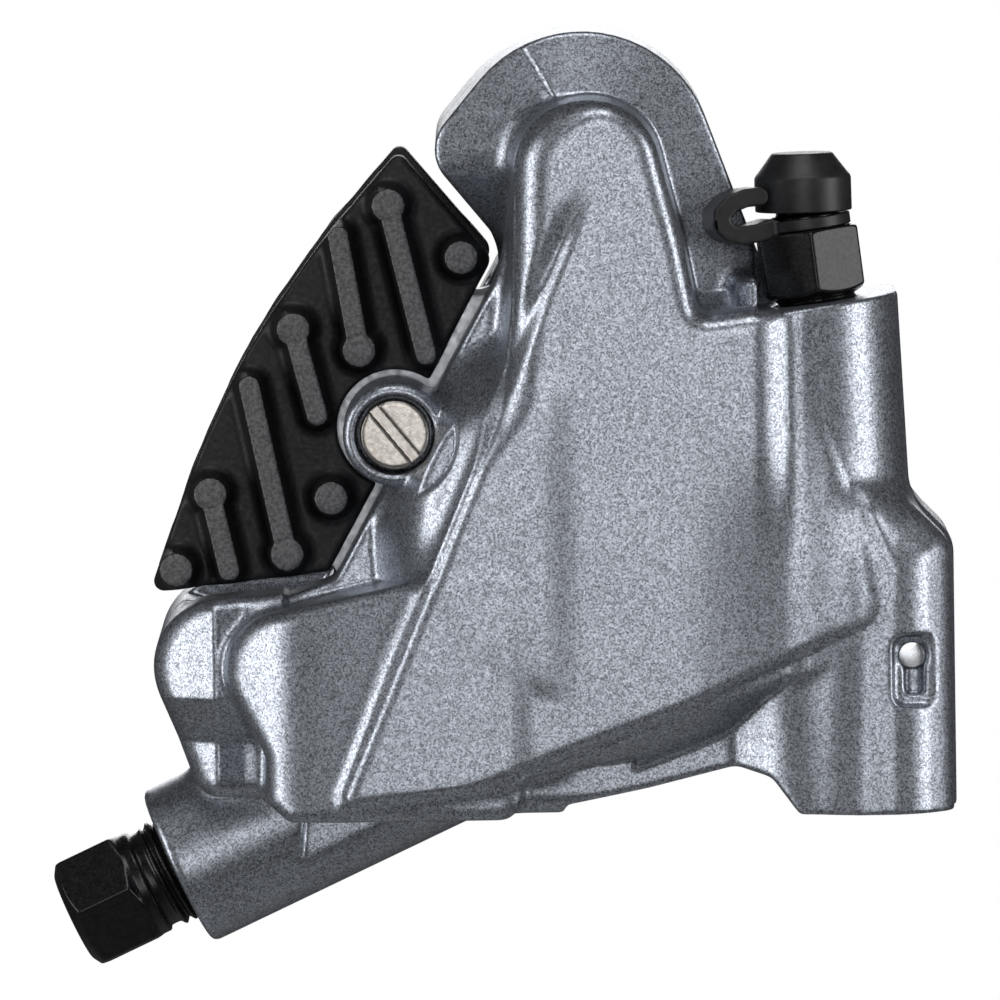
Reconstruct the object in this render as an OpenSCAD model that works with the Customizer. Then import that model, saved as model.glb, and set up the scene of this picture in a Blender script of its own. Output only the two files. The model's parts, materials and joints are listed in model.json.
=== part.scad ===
// Rear flat-mount disc brake caliper for a road bicycle, all sizes in millimetres.
// Origin: midway between the two frame bolts on the mounting face.
// +X points to the rear, +Z up and away from the frame, +Y towards the wheel.

/* [Frame mounting] */
// Distance between the two frame bolts
mount_pitch = 34; // [33:0.25:35]
// Thread diameter of the frame bolts
mount_d = 5; // [4:0.25:6]
// Depth of the tapped holes for the frame bolts
mount_depth = 9.2; // [6:0.2:9.6]
// Foot width past the rear frame bolt
foot_over = 5.45; // [4.5:0.1:6]
// Height of the arched gap between the two feet
foot_gap_h = 3.1; // [1.5:0.1:4.5]

/* [Rotor] */
// Diameter of the rotor that the caliper is made for
rotor_d = 140; // [136:1:160]
// Rotor thickness
rotor_t = 1.8; // [1.5:0.05:2]
// From the frame bolts' axes to the middle of the rotor
rotor_offset = 11; // [10.5:0.1:12]
// Width of the slot that the rotor runs in
slot_w = 4.6; // [4.2:0.1:5]
// Space between the rotor's edge and the bridges of the body
slot_over = 2; // [1:0.1:2.4]

/* [Pistons] */
// Piston diameter
piston_d = 22; // [20:0.25:22.5]
// Piston length
piston_len = 8.6; // [7:0.1:9]
// Radial depth of the seal groove
seal_depth = 1.35; // [0.8:0.05:1.5]
// Width of the seal groove along the bore
seal_w = 2; // [1.5:0.1:2.4]
// Running clearance of pistons, pins and threads, on the radius
run_clear = 0.04; // [0.02:0.01:0.08]

/* [Pads] */
// Angle of the pad's middle line, from +X
pad_angle = 151; // [149:0.5:153]
// Width of the pad plate along the rotor's edge
pad_w = 28; // [26:0.25:28.6]
// Height of the friction lining
lining_h = 16.5; // [14:0.25:17]
// Thickness of the friction lining when new
lining_t = 2.2; // [1.5:0.05:2.25]
// Thickness of the steel pad plate
plate_t = 1.8; // [1.4:0.1:2]
// Air gap between a new lining and the rotor
pad_gap = 0.3; // [0.25:0.05:0.5]
// Thickness of the cooling fin's base
fin_base_t = 2.2; // [1.6:0.1:2.4]
// Height of the ribs on the cooling fin
rib_h = 2.2; // [1:0.1:2.4]
// Width of a rib
rib_w = 1.15; // [0.8:0.05:1.5]
// Thickness of the pad spring's leaf
spring_t = 0.4; // [0.3:0.05:0.5]

/* [Pad axle] */
// Distance of the axle from the rotor's edge
axle_over = 3.8; // [3.6:0.1:4.4]
// Diameter of the axle's shank
axle_d = 3.2; // [3:0.1:3.4]
// Diameter of the slotted head
axle_head_d = 5; // [4.6:0.1:5.2]
// Width of the screwdriver slot
axle_slot_w = 0.8; // [0.6:0.05:1]
// Direction of the screwdriver slot, from +X
axle_slot_a = -51; // [-90:1:90]

/* [Body] */
// From the frame bolts' axes to the raised front face
front_y = 8; // [7.5:0.1:9]
// Overall depth of the caliper, from the raised front face to the back of the inner half
body_depth = 35.6; // [35:0.2:38]
// Radius of the round top of the arch
arch_r = 9.2; // [8.6:0.1:9.6]
// Height of the arch's centre above the mounting face
arch_z = 45.8; // [45:0.1:47]
// Width of the scooped rim around the arch
scoop_r = 3.4; // [2.5:0.1:3.8]
// Depth of the scooped rim behind the step
scoop_depth = 9.4; // [7:0.2:10]
// Radius of the rounding along the body's front edge
edge_r = 3.4; // [2.5:0.1:3.8]
// Height of the step between the raised front face and its surround
face_step = 2.8; // [2:0.1:3.2]
// Diameter of the see-through pin hole in the rear foot
pin_hole_d = 1.85; // [1.2:0.05:2]
// Thread diameter of the two bolts that join the body halves
joint_bolt_d = 6; // [5:0.25:6]

/* [Bleed nipple] */
// Lean of the nipple towards the arch
bleed_lean = 6.8; // [4:0.2:8]
// Radius of the round boss under the nipple
boss_r = 6.2; // [5.6:0.1:6.4]
// Hexagon size of the nipple, across flats
bleed_af = 7; // [6.5:0.25:7.5]
// Height of the nipple's hexagon
bleed_hex_h = 4.9; // [4:0.1:5.5]
// Thread diameter of the nipple
bleed_thread_d = 6; // [5:0.25:6.5]
// Outer diameter of the rubber cap
cap_d = 6.9; // [6.6:0.1:7.5]
// Height of the rubber cap
cap_h = 4.15; // [4:0.05:5]
// Thickness of the cap's strap
strap_t = 1.05; // [0.8:0.05:1.2]
// Width of the cap's strap
strap_w = 3.4; // [2.4:0.1:4]

/* [Hose port] */
// Rise of the hose port towards the arch, from +X
port_angle = 24.8; // [22:0.2:27]
// Radius of the hose port's casting
port_r = 6.05; // [5.6:0.05:6.3]
// From the frame bolts' axes to the hose port's axis
port_y = 18.4; // [18:0.1:19]
// Hexagon size of the hose nut, across flats
nut_af = 8; // [7.5:0.25:8.5]
// Length of the hose nut's hexagon
nut_hex_l = 5.6; // [4.5:0.1:6.5]
// Thread diameter of the hose nut
nut_thread_d = 8; // [7.5:0.25:8.25]
// Pitch of the hose nut's thread
nut_pitch = 0.75; // [0.75:0.25:1]
// Diameter of the hose that the nut takes
hose_d = 5; // [4.6:0.1:5.2]

/* [Hidden] */
$fn = 64;

// Paint and metal colours
paint = [0.42, 0.45, 0.50];
black = [0.06, 0.06, 0.065];
fin_black = [0.10, 0.10, 0.11];
nickel = [0.72, 0.70, 0.66];
steel = [0.55, 0.56, 0.58];

// Rotor, seen from the outboard side
axle_x = -16.75;
axle_z = 27.3;
rotor_r = rotor_d / 2;
axle_rho = rotor_r + axle_over;
rotor_x = axle_x - axle_rho * cos(pad_angle);
rotor_z = axle_z - axle_rho * sin(pad_angle);
slot_y0 = rotor_offset - slot_w / 2;
slot_y1 = rotor_offset + slot_w / 2;
slot_r = rotor_r + slot_over;

// Stack from the rotor outwards, measured from the rotor's middle plane
lining_in = rotor_t / 2 + pad_gap;
lining_out = lining_in + lining_t;
plate_out = lining_out + plate_t;
pocket_out = plate_out + 0.3;

// Piston, measured from the rotor's middle plane
piston_r = piston_d / 2;
bore_r = piston_r + run_clear;
groove_r = piston_r + seal_depth;
axle_r = axle_d / 2;
piston_rho = axle_rho - groove_r - axle_r - 0.65;
piston_x = rotor_x + piston_rho * cos(pad_angle);
piston_z = rotor_z + piston_rho * sin(pad_angle);
piston_out = plate_out + piston_len;
chamber_out = piston_out + 0.8;
groove_near = plate_out + 1.7;
chamber_y = rotor_offset - chamber_out + 1.4;
back_y = body_depth - front_y;

// Pad outline in the pad's own frame: along the rotor's edge, and outwards from its centre
pad_in = rotor_r - 17.5;
lining_top = rotor_r - 0.5;
tab_top = rotor_r + 8;
fin_in = rotor_r + 3.1;
fin_out = rotor_r + 12.6;
fin_bulge = 2.5;
pad_play = 0.3;
touch = 0.05;
// Small offset that keeps two faces from lying in one plane
shy = 0.04;

// Body outline
rear_x = mount_pitch / 2 + foot_over;
arch_x = -3.3;
step_y = -front_y + face_step;
split_y = rotor_offset;
window_rho = rotor_r + 2.7;
pin_x = mount_pitch / 2 + 2.78;
pin_z = 11.2;

// Pad axle, its head sits in a counterbore of its boss
axle_boss_r = 3.7;
axle_head_y = -2.9;
axle_seat_y = -0.5;
inner_boss_y = rotor_offset + 13;
clip_y = inner_boss_y + 0.2;
clip_t = 0.6;

// Bleed nipple and boss
bleed_x = rear_x - 9.05;
bleed_z = 36.2;
bleed_bore_r = bleed_thread_d / 2 + run_clear;
bleed_bore_l = 11.8;
bleed_hex_z = 0.3;
neck_r = 2.5;
nozzle_r = 2;
nozzle_l = 4.5;
cap_lean = -5.8;
ring_h = 0.85;
loop_turn = 18;
loop_u = 5;
loop_r = 2.05;
ring_z = bleed_hex_z + bleed_hex_h + touch;
cap_z = ring_z + ring_h + cap_d / 2 * abs(sin(cap_lean)) + touch;

// Hose port, its axis passes through this point of the port's face
port_x = -33.3;
port_z = -5.75;
port_l = 25;
nut_r = nut_thread_d / 2;
nut_in = 12 * nut_pitch;
nut_out = 2.9;
nut_turn = 7;
port_bore_r = nut_r + run_clear;

// Bolts that join the halves
joint_bolts = [[-7.2, 47.0], [-27.6, 8.8]];
joint_r = joint_bolt_d / 2;
bolt_head_r = joint_r + 1.6;
bolt_head_h = 4;
bolt_seat_y = back_y - 2.2 - bolt_head_h;
cross_x = 0.4;
cross_z = 48.4;
drill_r = 1;
seal_ring_r = 1.75;
seal_ring_t = 0.6;

// Step along a quarter circle for rounded edges
edge_steps = 4;
// Angle covered by one facet of a rounded corner
facet_a = 15;

// Corner of the two straight edges that touch a circle with normals at angles a and b
function tip(c, r, a, b) =
    [c[0] + r / cos((b - a) / 2) * cos((a + b) / 2),
     c[1] + r / cos((b - a) / 2) * sin((a + b) / 2), r];

function turned(a) = a > 180 ? a - 360 : a <= -180 ? a + 360 : a;
function heading(p, q) = atan2(q[1] - p[1], q[0] - p[0]);

// Rounded corner of an outline moved inwards by d, as points on its arc
function corner(p, q, s, d) =
    let(a = heading(p, q), b = heading(q, s), t = turned(b - a),
        mitre = 1 / max(cos(t / 2), 0.2), n = (a + b) / 2 + (abs(b - a) > 180 ? 180 : 0) + 90,
        k = [q[0] + d * mitre * cos(n), q[1] + d * mitre * sin(n)],
        r = max(t > 0 ? q[2] - d : q[2] + d, 0.05), far = r * mitre,
        c = [k[0] + sign(t) * far * cos(n), k[1] + sign(t) * far * sin(n)],
        m = max(1, ceil(abs(t) / facet_a)))
    [for (i = [0:m]) [c[0] + r * cos(a - sign(t) * 90 + t * i / m),
                      c[1] + r * sin(a - sign(t) * 90 + t * i / m)]];

// Whole outline with rounded corners, moved inwards by d, counter-clockwise
function outline(corners, d = 0) =
    let(n = len(corners))
    [for (i = [0:n - 1])
        each corner(corners[(i + n - 1) % n], corners[i], corners[(i + 1) % n], d)];

// Triangles that fill an outline
function area2(a, b, c) = (b[0] - a[0]) * (c[1] - a[1]) - (b[1] - a[1]) * (c[0] - a[0]);
function holds(p, a, b, c) = area2(a, b, p) >= 0 && area2(b, c, p) >= 0 && area2(c, a, p) >= 0;
function is_ear(pts, a, b, c, rest) =
    area2(pts[a], pts[b], pts[c]) > 0.000001
    && len([for (k = rest)
                if (k != a && k != b && k != c && holds(pts[k], pts[a], pts[b], pts[c])) k]) == 0;
function ear(pts, left, i = 0) =
    let(n = len(left))
    i >= n ? 0
    : is_ear(pts, left[(i + n - 1) % n], left[i], left[(i + 1) % n], left) ? i
    : ear(pts, left, i + 1);
function fill(pts, left) =
    len(left) < 3 ? []
    : let(n = len(left), i = ear(pts, left))
      concat([[left[(i + n - 1) % n], left[i], left[(i + 1) % n]]],
             fill(pts, [for (k = [0:n - 1]) if (k != i) left[k]]));

// Solid through rings of the same outline, each level is [y, inset], from front to back
module loft(corners, levels) {
    rings = [for (l = levels) outline(corners, l[1])];
    m = len(rings[0]);
    last = len(levels) - 1;
    points = [for (k = [0:last]) for (p = rings[k]) [p[0], levels[k][0], p[1]]];
    front = [for (t = fill(rings[0], [for (i = [0:m - 1]) i])) [t[2], t[1], t[0]]];
    back = [for (t = fill(rings[last], [for (i = [0:m - 1]) i])) [for (v = t) v + last * m]];
    sides = [for (k = [0:last - 1]) for (i = [0:m - 1])
        let(a = k * m + i, b = k * m + (i + 1) % m)
        each [[a, b, b + m], [a, b + m, a + m]]];
    polyhedron(points, concat(front, back, sides));
}

// Levels of a quarter-round front edge from y0 backwards
function round_front(y0, r, depth) =
    [for (i = [0:edge_steps])
        let(a = 90 * i / edge_steps)
        [y0 + depth * (1 - cos(a)), r * (1 - sin(a))]];

// Levels of a scooped front edge from y0 backwards
function scoop_front(y0, r, depth) =
    [for (i = [0:edge_steps]) [y0 + depth * i / edge_steps, r * cos(90 * i / edge_steps)]];

// Levels of a quarter-round back edge that ends at y1
function round_back(y1, r, depth) =
    [for (i = [0:edge_steps])
        let(a = 90 * i / edge_steps)
        [y1 - depth * (1 - sin(a)), r * (1 - cos(a))]];

// Straight plate of an outline between two places along Y
module plate(points, y0, y1) {
    translate([0, y1, 0])
        rotate([90, 0, 0])
            linear_extrude(y1 - y0)
                polygon(points);
}

// Cylinder along Y
module rod_y(x, z, r, y0, y1) {
    translate([x, y1, z])
        rotate([90, 0, 0])
            cylinder(h = y1 - y0, r = r);
}

// Ring along Y
module ring_y(x, z, r_in, r_out, y0, y1) {
    difference() {
        rod_y(x, z, r_out, y0, y1);
        rod_y(x, z, r_in, y0 - 1, y1 + 1);
    }
}

// Place in the pad's frame, along the rotor's edge and out from its centre, on the body
function pad_at(t, rho) =
    [rotor_x + rho * cos(pad_angle) + t * sin(pad_angle),
     rotor_z + rho * sin(pad_angle) - t * cos(pad_angle)];
function pad_corner(t, rho, r) = concat(pad_at(t, rho), [r]);

// Mirrors an outboard piece to the inboard side of the rotor
module inboard() {
    translate([0, 2 * rotor_offset, 0])
        mirror([0, 1, 0])
            children();
}

// Bleed nipple's frame, +Z along its axis, from the top of the boss
module on_bleed() {
    translate([bleed_x, 0, bleed_z])
        rotate([0, -bleed_lean, 0])
            children();
}

// Hose port's frame, +Z out of the port, from the port's face
module on_port() {
    translate([port_x, port_y, port_z])
        rotate([0, -90 - port_angle, 0])
            children();
}

// Silhouette of the arch, shared by both halves, from its rear edge to the window
function arch_corners(base_x, base_z) =
    [[base_x, base_z, 1.2],
     tip([arch_x, arch_z], arch_r, 19.4, 139.7),
     [-14.3, arch_z + 1.3, 3],
     [-9.7, 41.3, 1.2],
     pad_corner(14.4, window_rho, 1.5)];

// Silhouette of the lower bridge, from the window to its lower edge
lobe_corners =
    [pad_corner(-12.2, window_rho, 1.2),
     tip([-29.2, 10.45], 5.05, 94, 201),
     [-31.2, 1, 1.8]];

lower_corners = concat(
    [[rear_x, -8, 1],
     [rear_x, 19, 2.2],
     [rear_x - 2.55, 21.7, 3],
     [rear_x - 3.2, bleed_z + 0.7, 0.8],
     [bleed_x - 9, bleed_z - 1.05, 1],
     pad_corner(11.6, window_rho, 3)],
    lobe_corners,
    [[-25.4, 0.8, 0.6],
     [-24.4, -8, 1]]);
upper_corners = concat(
    arch_corners(11.9, 30.4),
    [pad_corner(3, window_rho - 1.8, 1)]);

// Arched gap between the feet, and the pocket around the pin hole
foot_gap_corners =
    [[-5.4, -1, 1],
     [11.6, -1, 1],
     [9.6, foot_gap_h - 0.6, 1.4],
     [7, foot_gap_h + 0.2, 2],
     [0.6, foot_gap_h - 1.4, 6]];
pin_pocket_corners =
    [[pin_x - 1.4, pin_z - 3.5, 0.9],
     [pin_x + 1.9, pin_z - 3.5, 0.9],
     [pin_x + 1.9, pin_z + 1.5, 0.9],
     [pin_x - 1.4, pin_z + 1.5, 0.9]];

// Raised front face, from the front tip up to the arch and back to the rear column
face_corners =
    [[-21.6, 0.9, 1],
     [-11.2, 1.9, 8],
     [4, 7, 8],
     [17, 13.6, 3],
     [18.4, 36.9, 1],
     [5, 35.4, 1.4],
     [4.2, 40.6, 6],
     tip([-2.7, 46.1], 5.5, 14, 100),
     tip([-2.9, 46.3], 5.3, 100, 178),
     [-9, 31, 12],
     [-13, 19.8, 20]];

// Sloping flank between the raised face and the window
flank_corners =
    [[-24.4, -0.2, 1],
     [-2, -0.2, 3],
     [4, 10, 4],
     [4, 40, 4],
     [-7.2, 43, 2],
     pad_corner(9, window_rho - 0.3, 4),
     pad_corner(-10.6, window_rho - 0.3, 3),
     tip([-24.7, 10.8], 4.3, 105, 212),
     [-26.2, 4, 3]];

inner_corners = concat(
    [[-12, -0.8, 2],
     [2, 5, 9],
     [9.6, 12, 9],
     [9.6, 28, 8],
     [4, 36, 4]],
    arch_corners(6.4, 44),
    lobe_corners);

plate_corners =
    [pad_corner(-pad_w / 2, pad_in, 2.5),
     pad_corner(pad_w / 2, pad_in, 2.5),
     pad_corner(pad_w / 2, rotor_r + 0.4, 1.5),
     pad_corner(11, rotor_r + 2.8, 1.5),
     pad_corner(9.4, tab_top, 2),
     pad_corner(-9.4, tab_top, 2),
     pad_corner(-11, rotor_r + 2.8, 1.5),
     pad_corner(-pad_w / 2, rotor_r + 0.4, 1.5)];

lining_corners =
    [pad_corner(-pad_w / 2 + 2.6, lining_top - lining_h, 3),
     pad_corner(pad_w / 2 - 2.6, lining_top - lining_h, 3),
     pad_corner(pad_w / 2 - 0.7, lining_top - 1.5, 2),
     pad_corner(0, lining_top + 0.3, 20),
     pad_corner(-pad_w / 2 + 0.7, lining_top - 1.5, 2)];

// Cooling fin, a sector that widens outwards with a bulged outer edge
fin_corners =
    [pad_corner(-11.4, fin_in, 0.6),
     pad_corner(-4, fin_in, 0.6),
     pad_corner(0, fin_in + 0.1, 0.6),
     pad_corner(14, fin_in + 0.3, 1),
     pad_corner(16.2, fin_in + 4.5, 20),
     pad_corner(17.7, fin_out + 0.4, 0.7),
     pad_corner(9, fin_out + 0.4 + 0.75 * fin_bulge, 30),
     pad_corner(0, fin_out + 0.8 + fin_bulge, 40),
     pad_corner(-9, fin_out + 0.9 + 0.75 * fin_bulge, 30),
     pad_corner(-18.8, fin_out + 1.2, 0.7)];

// Window between the bridges that the fins stand in
window_corners =
    [pad_corner(-16.4, window_rho - shy, 0.5),
     pad_corner(16.2, window_rho - shy, 0.5),
     pad_corner(18, fin_out + 6, 0.5),
     pad_corner(-20, fin_out + 6, 0.5)];

// Ribs on the fin as [start x, start z, end x, end z] from the axle, and its round spots as [x, z]
ribs = [[-0.24, 16.09, 2.3, 5.39],
        [-3.85, 13.9, -2.48, 5.76],
        [-7.17, 7.33, -5.56, 1.15],
        [-10.39, 3.3, -7.88, -8.79],
        [-13.31, -4.4, -12.05, -9.87]];
spots = [[-0.24, 16.09], [-2.48, 5.76], [-7.17, 7.33], [-7.88, -8.79],
         [-13.31, -4.4], [-15.85, -9.8], [4.91, 12.29], [-4.66, -4.82]];
spot_r = 1.15;
fin_y = rotor_offset - plate_out - fin_base_t;
rib_y = fin_y - rib_h;

// Room for pad plate and fin between the bridges
module pad_room(y0, y1) {
    plate(outline(plate_corners, -pad_play), y0, y1);
}

// Fluid drilling between two points
module drilling(p, q) {
    v = q - p;
    translate(p)
        rotate([0, acos(v[2] / norm(v)), atan2(v[1], v[0])])
            cylinder(h = norm(v), r = drill_r);
}

// Everything that is bored into both halves around the piston, on the outboard side
module piston_bore() {
    rod_y(piston_x, piston_z, bore_r, rotor_offset - chamber_out, rotor_offset);
    rod_y(piston_x, piston_z, groove_r, rotor_offset - groove_near - seal_w, rotor_offset - groove_near);
}

module outer_body() {
    color(paint)
        difference() {
            union() {
                loft(lower_corners, concat(round_front(step_y, edge_r, 4.5), [[slot_y0, 0]]));
                loft(upper_corners,
                     concat(scoop_front(step_y - shy, scoop_r, scoop_depth), [[slot_y0 - 0.5, 0]]));
                loft(face_corners, concat(round_front(-front_y, 2.2, face_step - 0.4), [[2, 0]]));
                loft(flank_corners, concat(round_front(-front_y + 0.7, 4.4, 5), [[slot_y0, 0]]));
                plate(outline(concat(arch_corners(6.4, 44), lobe_corners,
                                     [[-22, 1, 1], pad_corner(0, rotor_r - 4, 1)])), slot_y0 - 1, split_y);
                rod_y(axle_x, axle_z, axle_boss_r, axle_head_y - 0.3, rotor_offset - pocket_out);
                on_bleed()
                    translate([0, 0, -23])
                        cylinder(h = 23, r = boss_r);
            }
            translate([-60, -20, -20])
                cube([120, 60, 20]);
            plate(outline(foot_gap_corners), -20, 20);
            rod_y(rotor_x, rotor_z, slot_r, slot_y0, slot_y1);
            pad_room(rotor_offset - pocket_out, split_y + 1);
            plate(outline(window_corners), rotor_offset - pocket_out, split_y + 1);
            piston_bore();
            for (x = [-mount_pitch / 2, mount_pitch / 2])
                translate([x, 0, -1])
                    rotate_extrude()
                        polygon([[0, 0], [mount_d / 2, 0], [mount_d / 2, mount_depth + 1],
                                 [0, mount_depth + 1 + mount_d * 0.3]]);
            rod_y(axle_x, axle_z, axle_head_d / 2 + 0.35, -20, axle_seat_y);
            rod_y(axle_x, axle_z, axle_r + run_clear, -1, 20);
            on_bleed()
                translate([0, 0, -10])
                    cylinder(h = 12, r = bleed_bore_r);
            on_bleed()
                translate([0, 0, -bleed_bore_l - 1])
                    cylinder(h = 4, r = drill_r + 0.2);
            drilling([bleed_x + (bleed_bore_l - 1.4) * sin(bleed_lean), 0,
                      bleed_z - (bleed_bore_l - 1.4) * cos(bleed_lean)],
                     [piston_x + piston_r - 1, chamber_y, piston_z + 2]);
            drilling([piston_x + 2, chamber_y, piston_z + piston_r - 1], [cross_x, chamber_y, cross_z]);
            rod_y(cross_x, cross_z, drill_r + 0.2, chamber_y - drill_r - 0.3, split_y + 1);
            for (b = joint_bolts)
                rod_y(b[0], b[1], joint_r + run_clear, 1.6, split_y + 1);
            rod_y(pin_x, pin_z, pin_hole_d / 2, -20, 20);
            plate(outline(pin_pocket_corners), -20, -3.6);
        }
}

module inner_body() {
    color(paint)
        difference() {
            union() {
                loft(inner_corners, concat([[split_y, 0]], round_back(back_y - 2.2, 3, 3)));
                rod_y(piston_x, piston_z, groove_r + 1.1, slot_y1, back_y);
                rod_y(axle_x, axle_z, axle_boss_r, rotor_offset + pocket_out, inner_boss_y);
                on_port()
                    translate([0, 0, -port_l])
                        cylinder(h = port_l, r = port_r);
            }
            rod_y(rotor_x, rotor_z, slot_r, slot_y0, slot_y1);
            pad_room(split_y - 1, rotor_offset + pocket_out);
            plate(outline(window_corners), split_y - 1, rotor_offset + pocket_out);
            inboard()
                piston_bore();
            rod_y(axle_x, axle_z, axle_r + run_clear, 0, 40);
            rod_y(axle_x, axle_z, axle_boss_r + 0.25, inner_boss_y, 40);
            for (b = joint_bolts) {
                rod_y(b[0], b[1], joint_r + run_clear, 0, 40);
                rod_y(b[0], b[1], bolt_head_r + 0.15, bolt_seat_y, 40);
            }
            rod_y(cross_x, cross_z, drill_r + 0.2, split_y - 1, 2 * split_y - chamber_y + drill_r + 0.3);
            rod_y(cross_x, cross_z, seal_ring_r + seal_ring_t, split_y - 1, split_y + 2 * seal_ring_t);
            drilling([port_x + 22 * cos(port_angle), port_y, port_z + 22 * sin(port_angle)],
                     [piston_x - 4, 2 * split_y - chamber_y, piston_z - piston_r + 2]);
            drilling([cross_x, 2 * split_y - chamber_y, cross_z],
                     [piston_x + 1, 2 * split_y - chamber_y, piston_z + piston_r - 1]);
            on_port() {
                translate([0, 0, -nut_in - 2.6])
                    cylinder(h = nut_in + 4, r = port_bore_r);
                translate([0, 0, -nut_in - 4.6])
                    cylinder(h = 2.1, r1 = 1, r2 = port_bore_r - 0.8);
                translate([0, 0, -port_l])
                    cylinder(h = port_l, r = drill_r);
            }
        }
}

module body_bolts() {
    color(black)
        for (b = joint_bolts)
            difference() {
                union() {
                    rod_y(b[0], b[1], joint_r, 2.2, bolt_seat_y + 1);
                    rod_y(b[0], b[1], bolt_head_r, bolt_seat_y, bolt_seat_y + bolt_head_h - 0.2);
                }
                translate([b[0], bolt_seat_y + 5, b[1]])
                    rotate([90, 0, 0])
                        cylinder(h = 3.6, r = 2.5 / cos(30), $fn = 6);
            }
}

module crossover_seal() {
    color(black)
        translate([cross_x, split_y + seal_ring_t, cross_z])
            rotate([90, 0, 0])
                rotate_extrude()
                    translate([seal_ring_r, 0])
                        circle(r = seal_ring_t - 0.03, $fn = 24);
}

// Cup-shaped piston on the outboard side
module piston() {
    difference() {
        rod_y(piston_x, piston_z, piston_r, rotor_offset - piston_out, rotor_offset - plate_out - touch);
        rod_y(piston_x, piston_z, piston_r - 3.4, rotor_offset - plate_out - 4.2, rotor_offset);
    }
}

// Square-section seal in its groove on the outboard side
module piston_seal() {
    ring_y(piston_x, piston_z, piston_r + run_clear / 2, groove_r - 0.05,
           rotor_offset - groove_near - seal_w + touch, rotor_offset - groove_near - touch);
}

module outer_piston() {
    color(steel) piston();
}

module inner_piston() {
    color(steel) inboard() piston();
}

module outer_piston_seal() {
    color(black) piston_seal();
}

module inner_piston_seal() {
    color(black) inboard() piston_seal();
}

// Steel plate of the outboard pad, with the hole that slides on the axle
module pad_plate() {
    difference() {
        plate(outline(plate_corners), rotor_offset - plate_out, rotor_offset - lining_out);
        rod_y(axle_x, axle_z, axle_r + 2 * run_clear, 0, rotor_offset);
    }
}

// Outline of a slot shape of radius r between two places
function stadium(a, b, r) =
    let(h = heading(a, b), step = 180 / 8)
    concat([for (i = [0:8]) [b[0] + r * cos(h - 90 + i * step), b[1] + r * sin(h - 90 + i * step)]],
           [for (i = [0:8]) [a[0] + r * cos(h + 90 + i * step), a[1] + r * sin(h + 90 + i * step)]]);

// Aluminium cooling fin of the outboard pad
module pad_fin() {
    difference() {
        union() {
            plate(outline(fin_corners), fin_y, rotor_offset - plate_out);
            for (r = ribs)
                plate(stadium([axle_x + r[0], axle_z + r[1]], [axle_x + r[2], axle_z + r[3]], rib_w / 2),
                      rib_y, fin_y + 0.5);
            for (s = spots)
                rod_y(axle_x + s[0], axle_z + s[1], spot_r, rib_y - 0.02, fin_y + 0.5);
        }
        rod_y(axle_x, axle_z, axle_boss_r + 0.5, -20, rotor_offset);
    }
}

module pad_lining() {
    plate(outline(lining_corners), rotor_offset - lining_out, rotor_offset - lining_in);
}

module outer_pad_plate() {
    color(steel) pad_plate();
}

module outer_pad_fin() {
    color(fin_black) pad_fin();
}

module outer_pad_lining() {
    color(fin_black) pad_lining();
}

module inner_pad_plate() {
    color(steel) inboard() pad_plate();
}

module inner_pad_fin() {
    color(fin_black) inboard() pad_fin();
}

module inner_pad_lining() {
    color(fin_black) inboard() pad_lining();
}

// Leaf spring that pushes the two pads apart, bent over the axle
module pad_spring() {
    y0 = rotor_offset - lining_out + touch;
    y1 = rotor_offset + lining_out - touch;
    leaf = outline([pad_corner(-7, rotor_r + 0.8, 1.5), pad_corner(7, rotor_r + 0.8, 1.5),
                    pad_corner(5, tab_top - 0.4, 1), pad_corner(-5, tab_top - 0.4, 1)]);
    over = outline([pad_corner(-5, tab_top - 0.4 - spring_t, 0.1),
                    pad_corner(5, tab_top - 0.4 - spring_t, 0.1),
                    pad_corner(5, tab_top - 0.4, 0.1), pad_corner(-5, tab_top - 0.4, 0.1)]);
    color(nickel)
        difference() {
            union() {
                plate(leaf, y0, y0 + spring_t);
                plate(leaf, y1 - spring_t, y1);
                plate(over, y0, y1);
            }
            rod_y(axle_x, axle_z, axle_r + 0.3, 0, 30);
        }
}

module pad_axle() {
    color(nickel)
        difference() {
            union() {
                rod_y(axle_x, axle_z, axle_head_d / 2, axle_head_y, axle_seat_y - touch);
                rod_y(axle_x, axle_z, axle_r, axle_seat_y - 1, clip_y + clip_t + 1);
            }
            translate([axle_x, axle_head_y, axle_z])
                rotate([0, -axle_slot_a, 0])
                    cube([axle_head_d + 1, 1.5, axle_slot_w], center = true);
            ring_y(axle_x, axle_z, axle_r - 0.5, axle_r + 1, clip_y - touch, clip_y + clip_t + touch);
        }
}

// Spring clip in the groove at the axle's inner end
module pad_axle_clip() {
    color(nickel)
        difference() {
            rod_y(axle_x, axle_z, axle_r + 1.5, clip_y, clip_y + clip_t);
            rod_y(axle_x, axle_z, axle_r - 0.5 + run_clear, clip_y - 1, clip_y + clip_t + 1);
            translate([axle_x - 1, clip_y - 1, axle_z - 6])
                cube([2, clip_t + 2, 6]);
        }
}

// Hexagon with chamfered corners along +Z, af across flats, from z0 to z1
module hexagon(af, z0, z1, low, high, turn) {
    r = af / 2 / cos(30);
    intersection() {
        rotate([0, 0, turn])
            translate([0, 0, z0])
                cylinder(h = z1 - z0, r = r, $fn = 6);
        rotate_extrude()
            polygon([[0, z0], [r - low, z0], [r + 0.4, z0 + (low + 0.4) * 0.62],
                     [r + 0.4, z1 - (high + 0.4) * 0.62], [r - high, z1], [0, z1]]);
    }
}

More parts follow.
